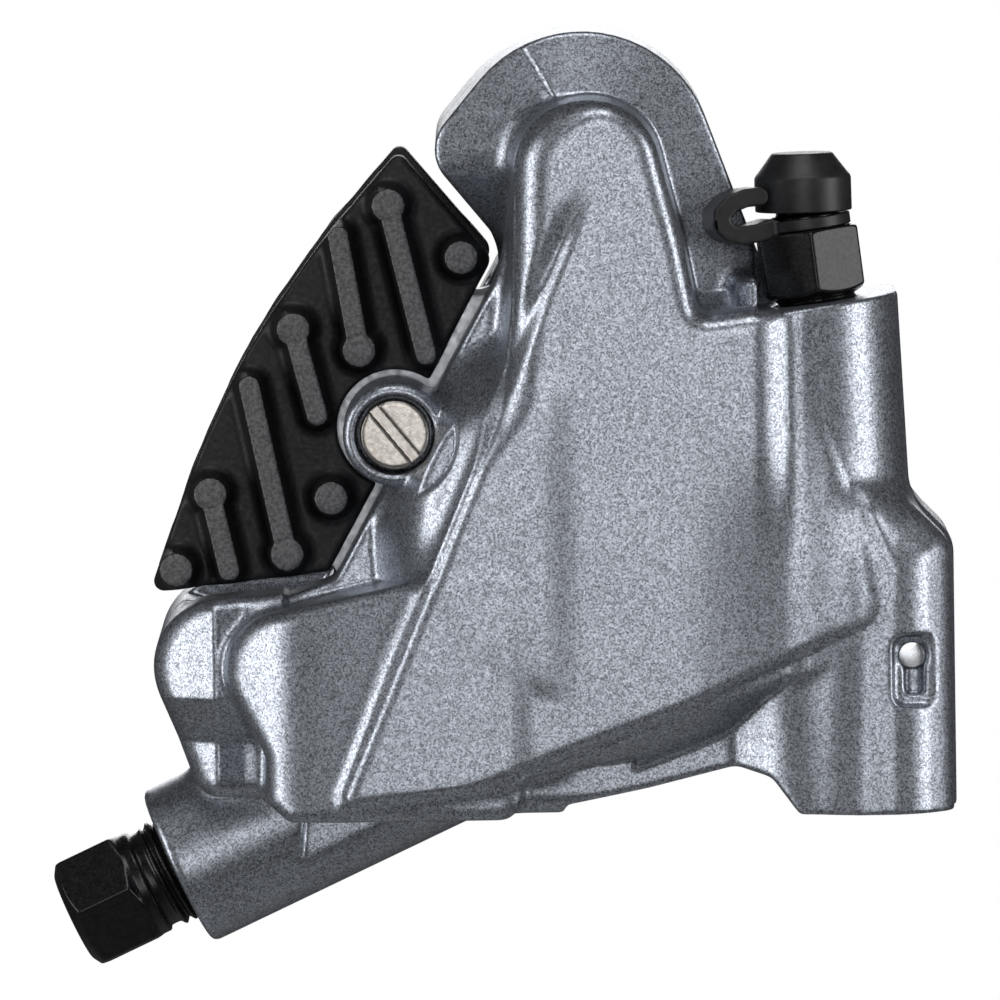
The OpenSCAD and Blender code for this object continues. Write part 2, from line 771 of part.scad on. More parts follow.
module bleed_nipple() {
    color(black)
        on_bleed()
            difference() {
                union() {
                    translate([0, 0, -8.6])
                        cylinder(h = 9, r = bleed_thread_d / 2);
                    translate([0, 0, -9.9])
                        cylinder(h = 1.3, r1 = 1.4, r2 = bleed_thread_d / 2);
                    hexagon(bleed_af, bleed_hex_z, bleed_hex_z + bleed_hex_h, 1.1, 0.3, 3.4);
                    translate([0, 0, bleed_hex_z + bleed_hex_h - 1])
                        cylinder(h = 2.1, r = neck_r);
                    translate([0, 0, bleed_hex_z + bleed_hex_h])
                        cylinder(h = nozzle_l, r = nozzle_r);
                }
                translate([0, 0, -7.8])
                    cylinder(h = 30, r = 0.7);
                translate([0, 0, -7])
                    rotate([0, 90, 0])
                        cylinder(h = 20, r = 0.6, center = true);
            }
}

// Rubber cap, tilted a little on its nozzle
module bleed_cap() {
    r = cap_d / 2;
    color(black)
        on_bleed()
            translate([0, 0, cap_z])
                rotate([0, -cap_lean, 0])
                    difference() {
                        rotate_extrude()
                            polygon([[0, 0], [r, 0], [r, cap_h - 1.7], [r - 0.3, cap_h - 1.35],
                                     [r - 1.3, cap_h], [0, cap_h]]);
                        translate([0, 0, -1])
                            cylinder(h = 1.25 + bleed_hex_z + bleed_hex_h + nozzle_l - cap_z,
                                     r = nozzle_r + 0.42);
                    }
}

// Rubber ring on the nipple's neck and the loop of strap that goes up to the cap
module cap_tether() {
    r = cap_d / 2;
    z = ring_z;
    w = cap_z;
    color(black)
        on_bleed() {
            rotate_extrude()
                polygon([[neck_r + run_clear, z], [r - 0.2, z], [r - 0.2, z + ring_h],
                         [neck_r + run_clear, z + ring_h]]);
            rotate([0, 0, 180 + loop_turn])
                difference() {
                    plate(outline([[r - 0.5, z + 0.1, 0.1], tip([loop_u, w], loop_r, -70, 85),
                                   [r + 0.15, w + 1.7, 0.2],
                                   [r + 0.15, w + 0.5, 0.1], [loop_u - 0.2, w + 0.2, 0.1],
                                   [r + 0.1, z + ring_h - 0.1, 0.1], [r - 0.5, z + ring_h - 0.1, 0.1]]),
                          -strap_w / 2, strap_w / 2);
                    rod_y(loop_u, w, loop_r - strap_t, -strap_w, strap_w);
                }
        }
}

module hose_nut() {
    color(black)
        on_port()
            difference() {
                union() {
                    translate([0, 0, -nut_in])
                        cylinder(h = nut_in + nut_out - 1.3, r = nut_r);
                    translate([0, 0, nut_out - 1.4])
                        cylinder(h = 2, r = nut_r - 0.3);
                    hexagon(nut_af, nut_out, nut_out + nut_hex_l, 1.1, 1.3, nut_turn);
                }
                translate([0, 0, -nut_in - 1])
                    cylinder(h = 40, r = hose_d / 2 + 0.1);
                translate([0, 0, -nut_in - 0.01])
                    cylinder(h = 0.6, r1 = hose_d / 2 + 0.7, r2 = hose_d / 2 + 0.1);
            }
}

// Brass compression ring at the end of the hose nut
module olive() {
    color("goldenrod")
        on_port()
            translate([0, 0, -nut_in - 2.4])
                rotate_extrude()
                    polygon([[hose_d / 2 + 0.08, 0], [hose_d / 2 + 0.4, 0], [hose_d / 2 + 0.75, 0.7],
                             [hose_d / 2 + 0.75, 1.6], [hose_d / 2 + 0.4, 2.3], [hose_d / 2 + 0.08, 2.3]]);
}

outer_body();
inner_body();
body_bolts();
crossover_seal();
outer_piston();
inner_piston();
outer_piston_seal();
inner_piston_seal();
outer_pad_plate();
outer_pad_fin();
outer_pad_lining();
inner_pad_plate();
inner_pad_fin();
inner_pad_lining();
pad_spring();
pad_axle();
pad_axle_clip();
bleed_nipple();
bleed_cap();
cap_tether();
hose_nut();
olive();
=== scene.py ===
"""Looks of a rear flat-mount disc brake caliper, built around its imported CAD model."""
import json
import math
from functools import reduce
from itertools import product

import bmesh
import bpy
import numpy as np
from mathutils import Matrix, Vector


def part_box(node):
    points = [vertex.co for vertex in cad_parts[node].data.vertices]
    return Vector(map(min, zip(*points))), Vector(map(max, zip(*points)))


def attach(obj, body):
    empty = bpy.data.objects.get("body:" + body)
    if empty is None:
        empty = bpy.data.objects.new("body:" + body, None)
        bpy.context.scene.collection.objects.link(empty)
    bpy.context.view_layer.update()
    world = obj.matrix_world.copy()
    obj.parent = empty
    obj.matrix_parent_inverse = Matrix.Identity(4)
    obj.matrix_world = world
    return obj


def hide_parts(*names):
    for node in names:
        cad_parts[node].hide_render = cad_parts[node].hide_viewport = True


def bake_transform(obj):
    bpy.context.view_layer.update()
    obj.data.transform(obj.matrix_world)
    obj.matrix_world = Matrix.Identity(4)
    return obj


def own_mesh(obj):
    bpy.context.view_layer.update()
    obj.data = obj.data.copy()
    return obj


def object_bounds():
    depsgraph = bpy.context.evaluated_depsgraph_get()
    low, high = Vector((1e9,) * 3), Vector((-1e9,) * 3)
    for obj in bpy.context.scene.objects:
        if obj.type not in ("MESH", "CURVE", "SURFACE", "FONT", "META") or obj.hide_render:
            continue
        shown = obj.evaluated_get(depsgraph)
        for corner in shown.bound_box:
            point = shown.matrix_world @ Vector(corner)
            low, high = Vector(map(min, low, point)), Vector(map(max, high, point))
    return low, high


bl_info = {
    "name": "Disc Brake Caliper",
    "version": (1, 0, 0),
    "blender": (4, 5, 0),
    "location": "3D View > Sidebar > Caliper",
    "description": "Castings, finned pads, fittings and studio for a flat-mount disc brake caliper",
    "category": "Object",
}

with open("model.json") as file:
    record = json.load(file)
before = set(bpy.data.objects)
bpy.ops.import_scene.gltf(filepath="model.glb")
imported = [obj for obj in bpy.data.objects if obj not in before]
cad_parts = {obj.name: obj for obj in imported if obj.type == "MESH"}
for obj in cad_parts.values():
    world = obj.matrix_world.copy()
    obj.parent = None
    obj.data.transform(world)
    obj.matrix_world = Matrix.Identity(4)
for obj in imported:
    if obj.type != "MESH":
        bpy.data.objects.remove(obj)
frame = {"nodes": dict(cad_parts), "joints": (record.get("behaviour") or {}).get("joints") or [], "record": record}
CAD_BOX = [list(corner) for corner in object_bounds()]

MM = 0.001
JOINTS = {joint["name"]: joint for joint in frame["joints"]}
MOUNTS = {mount["name"]: mount for mount in frame["record"]["mounts"]}


def millimetres(values):
    """A place or size of the frame, in millimetres"""
    return np.array(values, float) / MM


def node_box(node, margin=0.0):
    """Lowest and highest corner of a CAD node, in millimetres, with room around it"""
    low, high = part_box(node)
    return millimetres(low) - margin, millimetres(high) + margin


def node_middle(node):
    """Middle of a CAD node's box, in millimetres"""
    low, high = node_box(node)
    return (low + high) / 2


# Places that the frame gives, in millimetres
ROTOR_Y = millimetres(MOUNTS["rotor_slot"]["pos_m"])[1]
PIN_HOLE = millimetres(MOUNTS["stopper_pin_hole"]["pos_m"])
BOLT_PITCH = MOUNTS["frame_bolts"]["dims"]["spacing_x_mm"]
BOLT_R = MOUNTS["frame_bolts"]["dims"]["hole_r_mm"]
AXLE = millimetres(JOINTS["pad_axle_turn"]["pos_m"])
AXLE_LOW, AXLE_HIGH = node_box("pad_axle")
PISTON = node_middle("outer_piston")
PISTON_R = (node_box("outer_piston")[1] - node_box("outer_piston")[0])[0] / 2
BORE = (PISTON[0], ROTOR_Y, PISTON[2])
PLATE_LOW = node_box("outer_pad_plate")[0]
FIN_LOW = node_box("outer_pad_fin")[0]
BLEED = millimetres(JOINTS["bleed_nipple_turn"]["pos_m"])
BLEED_UP = np.array(JOINTS["bleed_nipple_turn"]["axis"], float)
PORT = millimetres(JOINTS["hose_nut_turn"]["pos_m"])
PORT_OUT = np.array(JOINTS["hose_nut_turn"]["axis"], float)
BACK_Y = node_box("inner_body")[1][1]
FRONT_Y = node_box("outer_body")[0][1]

# The pads stand along the rotor's edge at this angle, on the axle at this distance
PAD_ANGLE = math.radians(151)
OUTWARDS = np.array([math.cos(PAD_ANGLE), 0, math.sin(PAD_ANGLE)])
ALONG = np.array([math.sin(PAD_ANGLE), 0, -math.cos(PAD_ANGLE)])
AXLE_OUT = 73.8
ROTOR = AXLE - AXLE_OUT * OUTWARDS
SLOT_R = 72.0
SLOT_HALF = 2.3
WINDOW_RHO = 72.7
POCKET_Y = PLATE_LOW[1] - 0.3
ARCH_MIDDLE = (-3.3, 46.15)
ARCH_R = 9.4

# Radii and depths of the drillings and bosses, in millimetres
AXLE_BORE_R = 1.64
AXLE_HEAD_BORE_R = 2.85
AXLE_BOSS_R = 3.7
BLEED_BORE_R = 3.04
PIN_BORE_R = 0.925
BORE_R = PISTON_R + 0.04
BORE_DEEP = 14.6
PORT_R = 6.05
PORT_BORE_R = 4.04
BOLT_DEEP = 9.4
BOLT_BORE_R = 3.04
BOLT_SHANK_R = 3.0
BOLT_HEAD_R = 4.6
BOLT_SEAT = BACK_Y - 6.2
BOLT_END = 2.2
JOINT_BOLTS = ((-7.2, 47.0), (-27.6, 8.8))
HERE = (0.0, 0.0, 0.0)
UP = (0.0, 0.0, 1.0)
ALONG_Y = (0.0, 1.0, 0.0)


def pad_place(along, out, radius=0.0):
    """Corner of an outline from its place along the rotor's edge and out from its centre"""
    return (ROTOR[0] + out * OUTWARDS[0] + along * ALONG[0],
            ROTOR[2] + out * OUTWARDS[2] + along * ALONG[2], radius)


def tip(centre, radius, start, end):
    """Corner of the two straight edges that touch a circle, with normals at these angles"""
    half = math.radians(end - start) / 2
    middle = math.radians(start + end) / 2
    reach = radius / math.cos(half)
    return (centre[0] + reach * math.cos(middle), centre[1] + reach * math.sin(middle), radius)


def rounded(corners, step=7.0):
    """Closed outline, counter-clockwise seen from the front, from corners with a radius"""
    points = []
    count = len(corners)
    for i, (x, z, radius) in enumerate(corners):
        before, after = corners[i - 1], corners[(i + 1) % count]
        a = math.atan2(z - before[1], x - before[0])
        b = math.atan2(after[1] - z, after[0] - x)
        turn = (b - a + math.pi) % (2 * math.pi) - math.pi
        side = 1 if turn > 0 else -1
        tangent = radius * math.tan(abs(turn) / 2)
        cx = x - tangent * math.cos(a) - side * radius * math.sin(a)
        cz = z - tangent * math.sin(a) + side * radius * math.cos(a)
        pieces = max(1, math.ceil(abs(math.degrees(turn)) / step))
        for k in range(pieces + 1):
            angle = a - side * math.pi / 2 + turn * k / pieces
            points.append((cx + radius * math.cos(angle), cz + radius * math.sin(angle)))
    return points


def join(a, b, blend=0.0):
    """Union of two distances, with a fillet"""
    if not blend:
        return np.minimum(a, b)
    share = np.clip(0.5 + 0.5 * (b - a) / blend, 0, 1)
    return b * (1 - share) + a * share - blend * share * (1 - share)


def meet(a, b, blend=0.0):
    """What two distances have in common, with a rounded edge"""
    return -join(-a, -b, blend)


def carve(a, b, blend=0.0):
    """First distance less the second, with a rounded edge"""
    return -join(-a, b, blend)


def ramp(value, start, end):
    """Goes smoothly from 0 at start to 1 at end"""
    t = np.clip((value - start) / (end - start), 0, 1)
    return t * t * (3 - 2 * t)


def snug(a, b, radius):
    """What two distances have in common, with a round edge of this radius"""
    a, b = a + radius, b + radius
    over = np.hypot(np.maximum(a, 0), np.maximum(b, 0))
    return np.minimum(np.maximum(a, b), 0) + over - radius


def hexagon_flats(u, v, across, turn, edge):
    """Distance from the six flats of a hexagon"""
    angles = [math.radians(turn + 60 * k) for k in range(6)]
    flats = [u * math.cos(a) + v * math.sin(a) - across / 2 for a in angles]
    return reduce(lambda a, b: meet(a, b, edge), flats)


def thread_wave(x, y, w, pitch):
    """Goes from 0 to 1 and back with each pitch of a thread along Z"""
    turn = np.arctan2(y, x) / (2 * math.pi)
    return np.abs(((w / pitch - turn) % 1.0) - 0.5) * 2


CORNERS = tuple(product((0, 1), repeat=3))


class Casting:
    """Distances to a piece's surface on a grid around it, in millimetres and negative inside"""

    def __init__(self, low, high, step):
        self.step = step
        self.axes = [np.arange(a - 2.5 * step, b + 3 * step, step, dtype=np.float32)
                     for a, b in zip(low, high)]
        self.x = self.axes[0][:, None, None]
        self.y = self.axes[1][None, :, None]
        self.z = self.axes[2][None, None, :]

    def outline(self, corners):
        """Distance from a closed outline of rounded corners, on the grid's front view"""
        points = rounded(corners)
        x, z = self.x[:, :, 0], self.z[0]
        best = np.full((x.shape[0], z.shape[1]), 1e9, np.float32)
        inside = np.zeros(best.shape, bool)
        for (ax, az), (bx, bz) in zip(points, points[1:] + points[:1]):
            ex, ez = bx - ax, bz - az
            length = ex * ex + ez * ez
            if length < 1e-12:
                continue
            t = np.clip(((x - ax) * ex + (z - az) * ez) / length, 0, 1)
            best = np.minimum(best, (x - ax - ex * t) ** 2 + (z - az - ez * t) ** 2)
            if az != bz:
                inside ^= ((az > z) != (bz > z)) & (x < ex * (z - az) / ez + ax)
        best = np.sqrt(best)
        return np.where(inside, -best, best)[:, None, :]

    def beside(self, a, b):
        """Signed distance from the endless line through two places, positive on its left"""
        ex, ez = b[0] - a[0], b[1] - a[1]
        return (ex * (self.z - a[1]) - ez * (self.x - a[0])) / math.hypot(ex, ez)

    def slab(self, distance, y0, y1, front=(0.3, 0.3), back=(0.3, 0.3)):
        """Plate of an outline with rounded edges, each a radius across and a depth along"""
        def end(inwards, radius, depth):
            return snug(distance, -inwards * (radius / depth), radius)
        return np.maximum(end(self.y - y0, *front), end(y1 - self.y, *back))

    def plate(self, corners, *more, **edges):
        """Plate of rounded corners"""
        return self.slab(self.outline(corners), *more, **edges)

    def rod(self, place, along, radius, start, end, edge=0.15, taper=0.0):
        """Round bar along a direction, whose radius grows by taper for each millimetre"""
        dx, dy, dz = self.x - place[0], self.y - place[1], self.z - place[2]
        w = dx * along[0] + dy * along[1] + dz * along[2]
        out = np.sqrt(np.maximum(dx * dx + dy * dy + dz * dz - w * w, 0)) - radius - taper * w
        return snug(out, np.maximum(start - w, w - end), edge)

    def hexagon(self, across, start, end, turn, low, high, edge=0.12):
        """Hexagon bar along Z with conical chamfers, across its flats and turned about Z"""
        x, y, w = self.x, self.y, self.z
        body = hexagon_flats(x, y, across, turn, edge)
        corner = across / 2 / math.cos(math.pi / 6)
        out = np.sqrt(x * x + y * y)
        for chamfer, past in ((low, start - w), (high, w - end)):
            body = meet(body, (out - (corner - chamfer) + past / 0.62) * 0.527, edge)
            body = meet(body, past, edge)
        return body

    def skin(self, field):
        """Vertices in millimetres and four-sided faces of the surface"""
        inside = field < 0
        sizes = [n - 1 for n in field.shape]
        count = np.zeros(sizes, np.uint8)
        for i, j, k in CORNERS:
            count += inside[i:i + sizes[0], j:j + sizes[1], k:k + sizes[2]]
        cells = np.argwhere((count > 0) & (count < 8))
        number = np.full(count.shape, -1, np.int32)
        number[tuple(cells.T)] = np.arange(len(cells))
        total = np.zeros((len(cells), 3))
        hits = np.zeros(len(cells))
        for a in CORNERS:
            for axis in range(3):
                if a[axis]:
                    continue
                b = list(a)
                b[axis] = 1
                fa = field[tuple((cells + a).T)]
                fb = field[tuple((cells + b).T)]
                cut = (fa < 0) != (fb < 0)
                total[cut] += a
                total[cut, axis] += fa[cut] / (fa[cut] - fb[cut])
                hits[cut] += 1
        places = cells + total / hits[:, None]
        for _ in range(2):
            places = self.settle(field, places)
        faces = []
        for axis in range(3):
            sides = [(axis + 1) % 3, (axis + 2) % 3]
            edges = np.argwhere(np.diff(inside, axis=axis))
            across = edges[:, sides]
            edges = edges[((across > 0) & (across < np.array(sizes)[sides])).all(1)]
            ring = []
            for back in ((1, 1), (0, 1), (0, 0), (1, 0)):
                cell = edges.copy()
                cell[:, sides] -= back
                ring.append(number[tuple(cell.T)])
            ring = np.stack(ring, 1)
            into = inside[tuple(edges.T)]
            ring[~into] = ring[~into][:, ::-1]
            faces.append(ring)
        origin = np.array([axis[0] for axis in self.axes])
        return origin + places * self.step, np.concatenate(faces)

    def settle(self, field, places):
        """Moves places of the grid onto the surface"""
        low = np.clip(places.astype(int), 0, np.array(field.shape) - 2)
        t = places - low
        value = np.zeros(len(places))
        slope = np.zeros((len(places), 3))
        for corner in CORNERS:
            f = field[tuple((low + corner).T)]
            share = np.where(corner, t, 1 - t)
            value += f * share.prod(1)
            for axis in range(3):
                sign = 1 if corner[axis] else -1
                slope[:, axis] += sign * f * share[:, (axis + 1) % 3] * share[:, (axis + 2) % 3]
        size = np.maximum((slope ** 2).sum(1), 1e-9)
        move = slope * (value / size)[:, None]
        return places - np.clip(move, -0.3, 0.3)


def shown(name, data):
    """Object of this data, in the scene"""
    made = bpy.data.objects.new(name, data)
    bpy.context.scene.collection.objects.link(made)
    return made


def piece(name, places, faces, material, body, nodes):
    """Object from vertices in millimetres, which rides on its body and stands for CAD nodes"""
    mesh = bpy.data.meshes.new(name)
    mesh.from_pydata((np.asarray(places) * MM).tolist(), [], np.asarray(faces).tolist())
    mesh.validate()
    mesh.shade_smooth()
    mesh.materials.append(material)
    made = shown(name, mesh)
    if body:
        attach(made, body)
    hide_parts(*nodes)
    return made


def grid_step(fine, quick):
    """Spacing of a piece's grid, which is always the fine one; quick is not used"""
    return fine


def cast(name, box, steps, shape, material, body, node, stand=None):
    """Piece in a box, from the function that gives its distances on a grid"""
    grid = Casting(*box, grid_step(*steps))
    places, faces = grid.skin(shape(grid))
    if stand:
        places = placed(places, *stand)
    return piece(name, places, faces, material, body, (node,))


# ---------------------------------------------------------------- materials
class Look:
    """Node tree of one finish, built step by step"""

    def __init__(self, name):
        self.material = bpy.data.materials.new(name)
        self.material.use_nodes = True
        self.tree = self.material.node_tree
        self.shader = self.tree.nodes["Principled BSDF"]
        self.coordinates = self.add("ShaderNodeTexCoord").outputs["Object"]

    def add(self, kind, **values):
        node = self.tree.nodes.new(kind)
        for key, value in values.items():
            setattr(node, key, value)
        return node

    def link(self, output, socket):
        self.tree.links.new(output, socket)

    def base(self, metallic, roughness=None):
        self.shader.inputs["Metallic"].default_value = metallic
        if roughness is not None:
            self.shader.inputs["Roughness"].default_value = roughness

    def noise(self, size_mm, detail=2.0, stretch=None):
        """Noise whose features have about this size"""
        noise = self.add("ShaderNodeTexNoise")
        noise.inputs["Scale"].default_value = 1 / (size_mm * MM)
        noise.inputs["Detail"].default_value = detail
        source = self.coordinates
        if stretch:
            mapping = self.add("ShaderNodeMapping")
            mapping.inputs["Scale"].default_value = stretch
            self.link(source, mapping.inputs["Vector"])
            source = mapping.outputs["Vector"]
        self.link(source, noise.inputs["Vector"])
        return noise.outputs["Fac"]

    def flakes(self, size_mm):
        """Random colour for each flake of about this size"""
        cells = self.add("ShaderNodeTexVoronoi")
        cells.inputs["Scale"].default_value = 1 / (size_mm * MM)
        self.link(self.coordinates, cells.inputs["Vector"])
        return cells.outputs["Color"]

    def between(self, value, dark, light, start=0.3, end=0.7):
        """Colour that goes from dark to light with a value"""
        ramp_node = self.add("ShaderNodeValToRGB")
        ramp_node.color_ramp.elements[0].position = start
        ramp_node.color_ramp.elements[0].color = (*dark, 1)
        ramp_node.color_ramp.elements[1].position = end
        ramp_node.color_ramp.elements[1].color = (*light, 1)
        self.link(value, ramp_node.inputs["Fac"])
        return ramp_node.outputs["Color"]

    def span(self, value, low, high, start=0.3, end=0.7):
        """Number that goes from low to high with a value"""
        scale = self.add("ShaderNodeMapRange")
        scale.inputs["From Min"].default_value = start
        scale.inputs["From Max"].default_value = end
        scale.inputs["To Min"].default_value = low
        scale.inputs["To Max"].default_value = high
        self.link(value, scale.inputs["Value"])
        return scale.outputs["Result"]

    def times(self, a, b):
        """One colour times another"""
        mix = self.add("ShaderNodeMix", data_type="RGBA", blend_type="MULTIPLY")
        mix.inputs[0].default_value = 1.0
        self.link(a, mix.inputs[6])
        self.link(b, mix.inputs[7])
        return mix.outputs[2]

    def bump(self, height, depth_mm, strength):
        """Surface relief of about this depth"""
        bump = self.add("ShaderNodeBump")
        bump.inputs["Strength"].default_value = strength
        bump.inputs["Distance"].default_value = depth_mm * MM
        self.link(height, bump.inputs["Height"])
        previous = self.shader.inputs["Normal"]
        if previous.is_linked:
            self.link(previous.links[0].from_socket, bump.inputs["Normal"])
        self.link(bump.outputs["Normal"], self.shader.inputs["Normal"])

    def colour(self, output):
        self.link(output, self.shader.inputs["Base Color"])

    def rough(self, output):
        self.link(output, self.shader.inputs["Roughness"])


PAINT = "metallic_grey_paint"


def cast_paint(sizes):
    """Satin metallic grey paint over a casting, with fine bright flakes"""
    made = bpy.data.materials.get(PAINT)
    if made:
        return made
    look = Look(PAINT)
    dark = tuple(channel * 0.45 for channel in sizes.paint_colour)
    light = tuple(min(channel * 1.6, 1) for channel in sizes.paint_colour)
    flakes = look.flakes(sizes.flake_size / MM)
    speckle = look.between(flakes, dark, light, 0.15, 0.85)
    cloud = look.between(look.noise(6.0, 3), (0.93, 0.93, 0.94), (1.0, 1.0, 1.0))
    look.colour(look.times(speckle, cloud))
    look.base(0.9)
    look.rough(look.span(look.noise(0.35, 3), 0.30, 0.40))
    look.bump(flakes, 0.012, 0.7)
    look.bump(look.noise(0.9, 4), 0.02, 0.25)
    return look.material


# Metallic share, then noise, dark and light colour, noise and range of roughness, noise, depth
# and strength of relief, and where on the first noise the two colours end
FINISHES = {
    "black_oxide_steel": (
        0.3, (0.5, 4), (0.005, 0.005, 0.0055), (0.013, 0.013, 0.014),
        (0.25, 4), (0.2, 0.32), (0.18, 3), (0.01, 0.3)),
    "fin_black_coat": (
        0.25, (0.3, 3), (0.004, 0.004, 0.005), (0.013, 0.013, 0.014),
        (0.4, 2), (0.42, 0.58), (0.22, 3), (0.03, 0.5), (0.35, 0.65)),
    "fin_rib_coat": (
        0.25, (0.22, 3), (0.07, 0.07, 0.073), (0.16, 0.16, 0.165),
        (0.4, 2), (0.42, 0.58), (0.22, 3), (0.03, 0.5), (0.35, 0.65)),
    "moulded_rubber": (
        0.0, (0.8, 3), (0.010, 0.010, 0.011), (0.020, 0.020, 0.022),
        (0.3, 3, (1, 1, 9)), (0.34, 0.5), (0.25, 3, (1, 1, 8)), (0.012, 0.4)),
    "nickel_plate": (
        1.0, (0.35, 4), (0.36, 0.33, 0.30), (0.58, 0.55, 0.51),
        (0.15, 4, (1, 1, 6)), (0.24, 0.42), (0.3, 3, (5, 1, 1)), (0.008, 0.5)),
    "zinc_plated_steel": (
        1.0, (0.9, 4), (0.30, 0.31, 0.33), (0.48, 0.49, 0.51),
        (0.5, 3), (0.28, 0.44), (0.3, 3), (0.01, 0.4)),
    "rolled_spring_steel": (
        1.0, (0.4, 3, (1, 6, 1)), (0.42, 0.41, 0.40), (0.64, 0.63, 0.60),
        (0.2, 3, (1, 8, 1)), (0.2, 0.34)),
    "pressed_resin_lining": (
        0.0, (0.25, 4), (0.035, 0.028, 0.022), (0.20, 0.16, 0.12),
        (0.5, 2), (0.6, 0.85), (0.25, 4), (0.05, 0.6), (0.5, 0.75)),
    "ground_ceramic": (
        0.0, (1.2, 3), (0.56, 0.54, 0.50), (0.70, 0.69, 0.65),
        (0.3, 3), (0.3, 0.5), (0.2, 3), (0.006, 0.3)),
    "turned_brass": (
        1.0, (0.5, 3), (0.50, 0.34, 0.12), (0.68, 0.50, 0.22),
        (0.15, 3), (0.2, 0.36)),
}


def finish(name):
    """The finish of this name, made when it is first asked for"""
    made = bpy.data.materials.get(name)
    return made or mixed_finish(name, *FINISHES[name])


def mixed_finish(name, metallic, grain, dark, light, sheen, rough, relief=None, depth=(0, 0),
                 ends=(0.3, 0.7)):
    """Finish whose colour, roughness and relief each follow their own noise"""
    look = Look(name)
    look.base(metallic)
    look.colour(look.between(look.noise(*grain), dark, light, *ends))
    look.rough(look.span(look.noise(*sheen), *rough))
    if relief:
        look.bump(look.noise(*relief), *depth)
    return look.material


# ---------------------------------------------------------------- outlines of the castings
ARCH = [tip(ARCH_MIDDLE, ARCH_R, 19.4, 139.7), (-14.45, ARCH_MIDDLE[1] + 1.3, 3.0),
        (-9.7, 41.3, 1.2), pad_place(14.4, WINDOW_RHO, 1.5)]
LOBE = [pad_place(-12.2, WINDOW_RHO, 1.2), tip((-29.2, 10.45), 5.05, 94, 201), (-31.2, 1.0, 1.8)]
SPINE = [(-24.0, 0.8, 1.0), (3.0, 4.0, 1.0), (10.9, 35.0, 1.0), (9.3, 39.8, 4.0)] + ARCH + LOBE
COLUMN_TOP = (12.35, 0.45, 36.2)
COLUMN_R = 6.85
COLUMN = [(22.48, 0.0, 0.3), (22.48, 19.0, 2.2), (19.95, 21.6, 3.0), (19.15, 38.0, 0.8),
          (7.6, 38.0, 0.8), (8.0, 0.0, 0.8)]
FOOT = [(22.48, -5.0, 0.3), (22.48, 19.0, 2.2), (19.95, 21.6, 3.0), (15.0, 23.0, 2.0),
        (12.2, 12.0, 2.0), (11.7, 0.0, 0.3), (11.7, -5.0, 0.3)]
FOOT_FRONT = [(22.48, -5.0, 0.3), (22.48, 19.0, 2.2), (19.95, 21.6, 3.0), (15.5, 25.0, 2.0),
              (14.4, 12.0, 3.0), (14.0, -5.0, 0.3)]
FACE = [(-21.0, 1.0, 0.8), (-12.6, 1.7, 9.0), (3.6, 7.6, 12.0), (17.8, 14.0, 2.0),
        (16.0, 22.0, 6.0), (13.9, 28.0, 6.0), (13.6, 36.7, 0.8), (4.85, 35.55, 1.1),
        (3.85, 40.8, 6.0), tip((-2.62, 46.05), 4.95, 14, 100), tip((-2.95, 46.0), 5.0, 100, 178),
        (-8.25, 36.0, 10.0), (-9.2, 29.0, 8.0)]
FLANK = [(-24.6, -0.1, 0.8), (-2.0, -0.1, 3.0), (4.0, 10.0, 4.0), (3.0, 44.0, 3.0),
         (-6.6, 46.0, 2.5), pad_place(13.6, WINDOW_RHO - 0.1, 1.5),
         pad_place(-11.4, WINDOW_RHO - 0.1, 1.5), tip((-24.7, 10.4), 4.4, 105, 212),
         (-26.0, 4.5, 1.6), (-26.3, 1.4, 1.0)]
LOWER = [(14.0, 0.0, 0.4), (14.0, 13.0, 2.0), (5.0, 9.0, 6.0), (-9.0, 3.4, 6.0),
         (-24.0, 3.0, 2.0), (-24.6, -0.1, 0.7)]
PAD_PLATE = [pad_place(-14.3, 52.2, 2.5), pad_place(14.3, 52.2, 2.5), pad_place(14.3, 70.9, 1.5),
             pad_place(11.2, 73.1, 1.5), pad_place(9.7, 78.3, 2.0), pad_place(-9.7, 78.3, 2.0),
             pad_place(-11.2, 73.1, 1.5), pad_place(-14.3, 70.9, 1.5)]
WINDOW = [pad_place(-16.4, WINDOW_RHO, 0.5), pad_place(16.2, WINDOW_RHO, 0.5),
          pad_place(20.0, 90.0, 0.5), pad_place(-21.0, 90.0, 0.5)]
FOOT_GAP = [(-5.4, -3.0, 1.0), (11.7, -3.0, 1.0), (11.5, 0.2, 0.3), (9.7, 2.6, 1.4),
            (7.2, 3.3, 2.0), (1.0, 1.8, 6.0), (-5.0, 0.6, 0.6)]
PIN_POCKET = [(PIN_HOLE[0] + x, PIN_HOLE[2] + z, 0.9)
              for x, z in ((-1.4, -3.5), (1.9, -3.5), (1.9, 1.5), (-1.4, 1.5))]
LOWER_Y, FOOT_Y, FOOT_FRONT_Y = -3.4, -5.0, -7.2
PIN_POCKET_Y, PIN_GROOVE_Y = -5.8, -5.1
PIN_GROOVE = [(19.2, 8.4, 0.5), (20.5, 8.4, 0.5), (20.5, 10.8, 0.5), (19.2, 10.8, 0.5)]


def shared_hollows(grid, body):
    """Cuts the rotor's slot, the pads' pocket and the fins' window"""
    slot = grid.rod((ROTOR[0], ROTOR_Y, ROTOR[2]), ALONG_Y, SLOT_R, -SLOT_HALF, SLOT_HALF)
    body = carve(body, slot, 0.3)
    depth = POCKET_Y, 2 * ROTOR_Y - POCKET_Y
    body = carve(body, grid.plate(PAD_PLATE, *depth, (0.5, 0.5), (0.5, 0.5)), 0.2)
    return carve(body, grid.plate(WINDOW, *depth), 0.3)


def drilled(grid, body, holes):
    """Body with round holes, each the values of a rod and how far its rim is eased"""
    for *hole, rim in holes:
        body = carve(body, grid.rod(*hole), rim)
    return body


